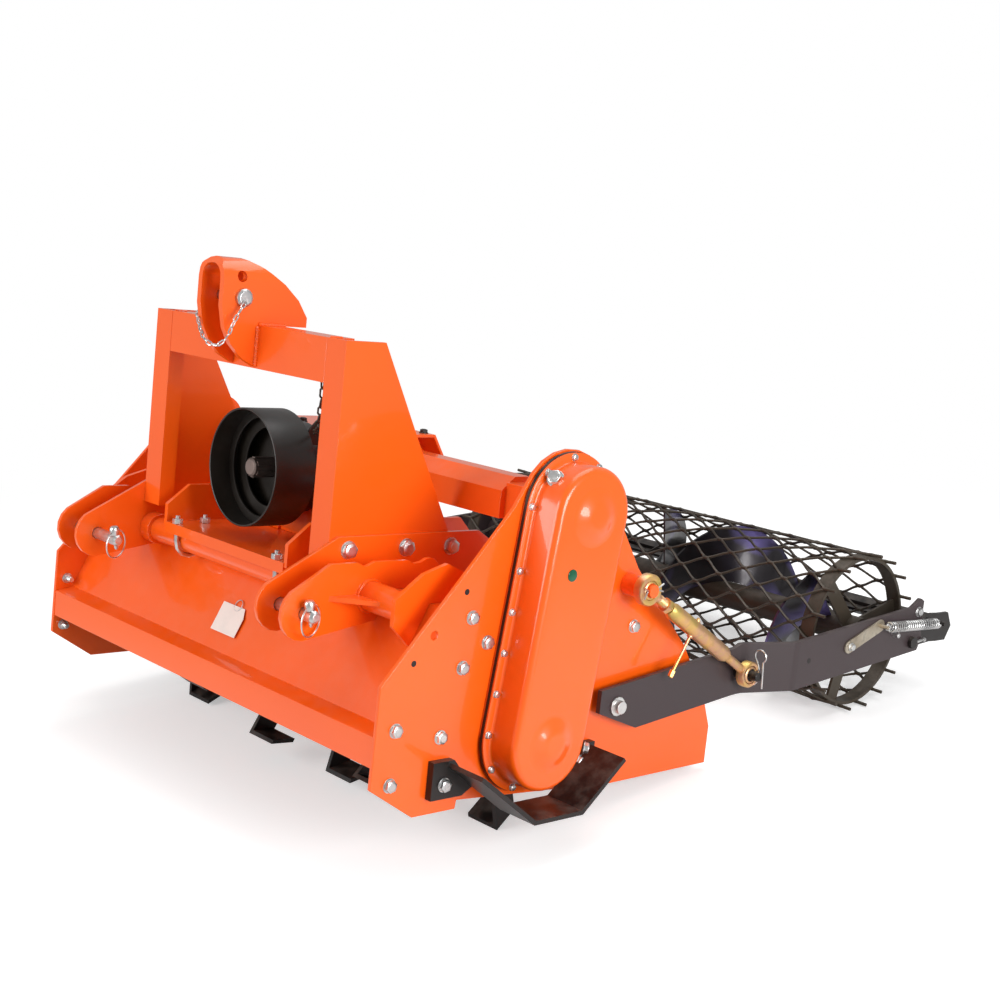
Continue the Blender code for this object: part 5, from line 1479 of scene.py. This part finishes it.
@dataclass
class Turnbuckles:
    """The two turnbuckles: barrels, rods, lock nuts, ball joints, pins, clips and handles."""

    x: float = 0.5875
    upper: Point = (0.495, -0.390)
    lower: Point = (0.815, -0.577)
    barrel: tuple[Point, ...] = ((0.0768, 0.0100), (0.0768, 0.0112), (0.0785, 0.0123), (0.0900, 0.0160),
                                 (0.2736, 0.0160), (0.2850, 0.0123), (0.2868, 0.0112), (0.2868, 0.0100))
    handle_at: float = 0.165
    handle_end: float = 0.101
    handle_above: float = 0.023
    handle_radius: float = 0.003
    nut_at: float = 0.0600
    shank_radius: float = 0.0085
    thread_radius: float = 0.0092
    eye_radius: float = 0.0256
    boss_radius: float = 0.020
    plate_face: float = 0.5413
    arm_face: float = 0.5663
    collar_x: float = 0.6010
    clip_x: float = 0.6118

    def build(self, shop: Workshop) -> None:
        """Makes both turnbuckles, their eyes and the pins through them."""
        for side, word in SIDE_WORDS:
            body, rod = f"turnbuckle_{word}", f"turnbuckle_rod_{word}"
            upper = self.eye(self.upper, 0.0128, 0.0035)
            lower = self.eye(self.lower, 0.0122, 0.0)
            shop.piece(f"turnbuckle_tube_{word}", self.tube().on_side(side), YELLOW, body, stands_for=[body])
            shop.piece(f"turnbuckle_handle_{word}", self.handle().on_side(side), YELLOW, body, bevel=0.0004)
            shop.piece(f"turnbuckle_nut_{word}", self.lock_nut().on_side(side), YELLOW, body)
            shop.piece(f"turnbuckle_eye_{word}", upper.on_side(side), YELLOW, body)
            shop.piece(f"rod_eye_{word}", lower.add(self.rod()).on_side(side), YELLOW, rod, stands_for=[rod])
            shop.piece(f"upper_boss_{word}", self.upper_boss().on_side(side), ORANGE, Body.MACHINE,
                       stands_for=[f"upper_eye_pin_{word}"])
            shop.piece(f"lower_pin_{word}", self.lower_pin().on_side(side), BLACK, Body.ARMS,
                       stands_for=[f"lower_eye_pin_{word}"])
            shop.piece(f"eye_clip_{word}", self.clip().on_side(side), ZINC, Body.ARMS)
            shop.piece(f"eye_cotter_{word}", self.cotter().on_side(side), ZINC, Body.MACHINE)

    def at(self, distance: float) -> Vector:
        """The place at a distance down from the upper eye."""
        a, b = Vector((self.x, *self.upper)), Vector((self.x, *self.lower))
        return a + (b - a).normalized() * distance

    @property
    def along(self) -> Vector:
        """The direction from the upper eye to the lower one."""
        return (self.at(1.0) - self.at(0.0)).normalized()

    def tube(self) -> Form:
        """The barrel's drawn tube with its tapered ends, and the shank of its upper eye."""
        made = turned(self.barrel, 40, closed=True)
        made.add(turned([(self.eye_radius - 0.004, self.shank_radius), (0.080, self.shank_radius)], 24))
        return made.placed(aim(self.at(0.0), self.along))

    def rod(self) -> Form:
        """The rod that slides in the barrel, up to the lower eye."""
        length = hypot(self.lower[0] - self.upper[0], self.lower[1] - self.upper[1])
        ends = (0.200, length - self.eye_radius + 0.004)
        return turned([(h, self.shank_radius) for h in ends], 24).placed(aim(self.at(0.0), self.along))

    def handle(self) -> Form:
        """The turning handle through the barrel, its collars and its hexagon tip."""
        across = self.along.cross(Axis.ACROSS.vector).normalized()
        down = across if across.z < 0 else -across
        middle = self.at(self.handle_at)
        made = turned([(-self.handle_above, 0.0015), (0.0015 - self.handle_above, self.handle_radius),
                       (self.handle_end, self.handle_radius)], 16).placed(aim(middle, down))
        collar = [(0.0135, 0.0034), (0.0135, 0.0060), (0.0175, 0.0060), (0.0185, 0.0048), (0.0185, 0.0034)]
        for way in (down, -down):
            made.add(turned(collar, 20, closed=True), aim(middle, way))
        tip = turned([(-0.0145, 0.0046), (-0.0135, 0.0058), (-0.0010, 0.0058), (0.0, 0.0046)], 6)
        return made.add(tip, aim(middle + down * self.handle_end, down))

    def upper_boss(self) -> Form:
        """The orange boss that carries the upper eye, with the eye's pin and its end collar."""
        near, far = self.x - 0.0094, self.x + 0.0092
        wide, pin, collar, rounding = self.boss_radius, 0.0126, 0.0120, 0.0012
        profile = [(self.plate_face, wide), (near - rounding, wide), (near, wide - rounding), (near, pin),
                   (far, pin), (far, collar), (far + 0.0082, collar), (far + 0.0090, 0.0112)]
        return turned(profile, 40).placed(aim((0.0, *self.upper), Axis.ACROSS.value))

    def lower_pin(self) -> Form:
        """The black pin of the lower eye, with its collar on the arm."""
        near, far = self.x - 0.0094, self.x + 0.029
        profile = [(self.arm_face, 0.0150), (near, 0.0150), (near, 0.0108), (self.x + 0.010, 0.0108),
                   (self.x + 0.010, 0.0092), (far - 0.0012, 0.0092), (far, 0.0080)]
        return turned(profile, 32).placed(aim((0.0, *self.lower), Axis.ACROSS.value))

    def lock_nut(self) -> Form:
        """The lock nut on the upper shank and the thread on both sides of it."""
        pitch = 0.0022
        made = Fastener(0.0250, 0.0110, 0.0130).form()
        for k in range(18):
            low = pitch * (k - 10)
            made.add(turned([(low, self.thread_radius - 0.0008), (low + pitch * 0.5, self.thread_radius),
                             (low + pitch, self.thread_radius - 0.0008)], 18))
        return made.placed(aim(self.at(self.nut_at), self.along, 15))

    def eye(self, centre: Point, bore: float, extra: float) -> Form:
        """A ball joint's rounded rim and the ball in it.

        Args:
            centre: The eye's centre in Y and Z.
            bore: The radius inside the ball's rim.
            extra: How much wider the rim is than the plain one.

        Returns:
            The eye's rings about its pin.
        """
        outer, low, wide = 0.0108, -0.0090, self.eye_radius + extra
        rim = [(low + 0.0012, 0.0172), (low, 0.0186), (low, wide - 0.0028), (low + 0.0030, wide),
               (outer - 0.0030, wide), (outer - 0.0004, wide - 0.0020), (outer, wide - 0.0048),
               (outer - 0.0006, 0.0182), (outer - 0.0026, 0.0172)]
        ball = [(low + 0.0014, bore), (low, bore + 0.0010), (low + 0.0008, bore + 0.0044),
                (outer - 0.0012, bore + 0.0044), (outer + 0.0004, bore + 0.0026),
                (outer + 0.0006, bore + 0.0008), (outer - 0.0004, bore)]
        made = turned(rim, 40, closed=True).add(turned(ball, 40, closed=True))
        return made.placed(aim((self.x, *centre), Axis.ACROSS.value))

    def clip(self) -> Form:
        """The spring clip through the lower pin."""
        at = (self.clip_x, self.lower[0] + 0.004, self.lower[1] + 0.040)
        return hairpin_clip(0.076, 0.0016).placed(aim(at, (0.0, -0.10, 1), 90.0))

    def cotter(self) -> Form:
        """The split pin through the upper pin, with its legs spread."""
        y, z = self.upper
        x = self.collar_x
        made = Form()
        for lift in (1, -1):
            legs = [(x + 0.001, y + 0.027, z + 0.005 + 0.007 * lift),
                    (x, y + 0.014, z + 0.003 + 0.002 * lift),
                    (x, y, z + 0.0016 * lift), (x, y - 0.013, z + 0.0016 * lift),
                    (x + 0.002, y - 0.022, z + 0.010 * lift - 0.004)]
            made.add(swept(smooth_path(legs, 5), 0.0015, 6))
        return made


@dataclass
class SlopeTag:
    """The blank card tag tied to the hood's slope."""

    centre: Place = (0.016, 0.016, -0.548)
    width: float = 0.078
    height: float = 0.056

    def build(self, shop: Workshop) -> None:
        """Makes the tag and its wire ring."""
        slope = Vector((0.0, 0.097, 0.189)).normalized()
        out = Axis.ACROSS.vector.cross(slope) * -1
        if out.y > 0:
            out = -out
        base = Vector(self.centre) + out * 0.0075
        rings = []
        for lift in (0.0, 0.0006):
            loop = []
            for u, v in ((-1, -1), (1, -1), (1, 0.35), (0.72, 1), (-1, 1)):
                curl = 0.004 * u * u
                loop.append(base + Axis.ACROSS.vector * (u * self.width / 2) + slope * (v * self.height / 2)
                            + out * (curl + lift))
            rings.append(loop)
        shop.piece("blank_tag", skinned(rings), TAG, Body.MACHINE)
        at = base + slope * 0.030 + Axis.ACROSS.vector * 0.006 + out * 0.003
        ring = torus(0.011, 0.0009, 26, 6).placed(aim(at, out))
        shop.piece("tag_ring", ring, ZINC, Body.MACHINE)


@dataclass(frozen=True)
class SoftBox:
    """A square soft lamp: its name, its place, its size and its power in watts."""

    name: str
    at: Place
    size: float
    power: float


@dataclass
class Studio:
    """The plain floor, the sky, the lamps and the camera at the photograph's angle."""

    floor_size: float = 60.0
    focal_pixels: float = 1580.0
    frame_pixels: float = 1000.0
    sensor_mm: float = 36.0
    camera_at: Place = (2.3974, -1.5990, 0.1463)
    camera_right: Place = (0.67271, 0.73263, 0.10355)
    camera_up: Place = (-0.17687, 0.02333, 0.98396)
    sky_light: float = 0.44
    floor_colour: Colour = (0.82, 0.82, 0.82)
    floor_glow: float = 0.42
    near_floor: float = 1.2
    far_floor: float = 2.6
    lamps_towards: Place = (0.0, 0.0, 0.4)
    boxes: tuple[SoftBox, ...] = (SoftBox("key", (-0.9, -3.6, 1.5), 2.0, 70.0),
                                  SoftBox("fill", (3.7, -0.5, 1.2), 1.7, 106.0),
                                  SoftBox("top", (0.2, 0.6, 3.4), 2.6, 50.0))

    def build(self, lean: Lean) -> None:
        """Makes everything that isn't part of the machine."""
        self.floor()
        self.sky()
        self.lamps()
        self.camera(lean)

    def seen_directly(self, graph: Graph) -> Signal:
        """1 for what the camera or glass sees, 0 for light that falls on things."""
        rays = graph.node("ShaderNodeLightPath")
        return (rays["Is Camera Ray"] + rays["Is Transmission Ray"]).rise(0.0, 1.0)

    def sky_glow(self, graph: Graph) -> Signal:
        """White where it is seen, and softer for the light that it gives."""
        return self.sky_light + self.seen_directly(graph) * (1.0 - self.sky_light)

    def floor(self) -> None:
        """A pale floor that keeps the machine's shadow."""
        half = self.floor_size / 2
        mesh = bpy.data.meshes.new("floor")
        corners = [(-half, -half, 0), (half, -half, 0), (half, half, 0), (-half, half, 0)]
        mesh.from_pydata(corners, [], [(0, 1, 2, 3)])
        made = bpy.data.objects.new("floor", mesh)
        bpy.context.scene.collection.objects.link(made)
        graph = Graph.material("studio_floor")
        shader = graph.existing("Principled BSDF")
        plain = {"Base Color": self.floor_colour, "Roughness": 0.9, "Specular IOR Level": 0.0}
        for socket, value in plain.items():
            graph.feed(shader.inputs[socket], value)
        glow = graph.node("ShaderNodeEmission", {}, {"Color": WHITE,
                                                     "Strength": self.seen_directly(graph) * self.floor_glow})
        paint = Signal(graph, shader.outputs["BSDF"])
        both = graph.node("ShaderNodeAddShader", {}, {0: paint, 1: glow["Emission"]})
        white = graph.node("ShaderNodeEmission", {}, {"Color": WHITE, "Strength": self.sky_glow(graph)})
        reach = graph.node("ShaderNodeVectorMath", {"operation": "LENGTH"}, {0: graph.place()})["Value"]
        mixed = graph.node("ShaderNodeMixShader", {}, {0: reach.rise(self.near_floor, self.far_floor),
                                                       1: both["Shader"], 2: white["Emission"]})
        graph.feed(graph.existing("Material Output").inputs["Surface"], mixed["Shader"])
        mesh.materials.append(graph.owner)

    def sky(self) -> None:
        """A white sky where it is seen, and a softer one for its light."""
        world = bpy.data.worlds.new("studio")
        bpy.context.scene.world = world
        graph = Graph(world)
        graph.feed(graph.existing("Background").inputs["Color"], WHITE)
        graph.feed(graph.existing("Background").inputs["Strength"], self.sky_glow(graph))

    def lamps(self) -> None:
        """Three soft boxes: a key from the front left, a fill from the right and one overhead."""
        for box in self.boxes:
            lamp = bpy.data.lights.new(box.name, "AREA")
            lamp.shape, lamp.size, lamp.energy = "SQUARE", box.size, box.power
            made = bpy.data.objects.new(box.name, lamp)
            made.location = box.at
            look = Vector(self.lamps_towards) - Vector(box.at)
            made.rotation_euler = look.to_track_quat("-Z", "Y").to_euler()
            bpy.context.scene.collection.objects.link(made)

    def camera(self, lean: Lean) -> None:
        """The camera where the photograph was taken from."""
        lens = bpy.data.cameras.new("camera")
        lens.sensor_width = self.sensor_mm
        lens.lens = self.focal_pixels / self.frame_pixels * self.sensor_mm
        right, up = Vector(self.camera_right), Vector(self.camera_up)
        turn = Matrix((right, up, right.cross(up))).transposed().to_4x4()
        made = bpy.data.objects.new("camera", lens)
        bpy.context.scene.collection.objects.link(made)
        made.matrix_world = lean.matrix @ Matrix.Translation(self.camera_at) @ turn
        bpy.context.scene.camera = made


def main() -> None:
    """Builds the scene in order."""
    logging.basicConfig(level=logging.INFO, format="%(name)s: %(message)s")
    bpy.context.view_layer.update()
    case = ChainCase()
    lean = Lean.from_joints(frame["joints"], case.lower)
    back = lean.matrix.to_3x3() @ Axis.BACK.vector
    shop = Workshop(lean)
    PackedNodes().build(shop, frame["nodes"], frame["record"])
    assemblies = (HitchFrame(), LowerHitch(), SidePlates(), HingeCover(), case, Drive(), Arms(), Springs(),
                  Turnbuckles(), SlopeTag())
    for assembly in assemblies:
        assembly.build(shop)
    Roller().build(shop, atan2(-back.z, back.y))
    Studio().build(lean)
    bpy.context.scene.view_settings.view_transform = "Standard"


if __name__ == "__main__":
    main()
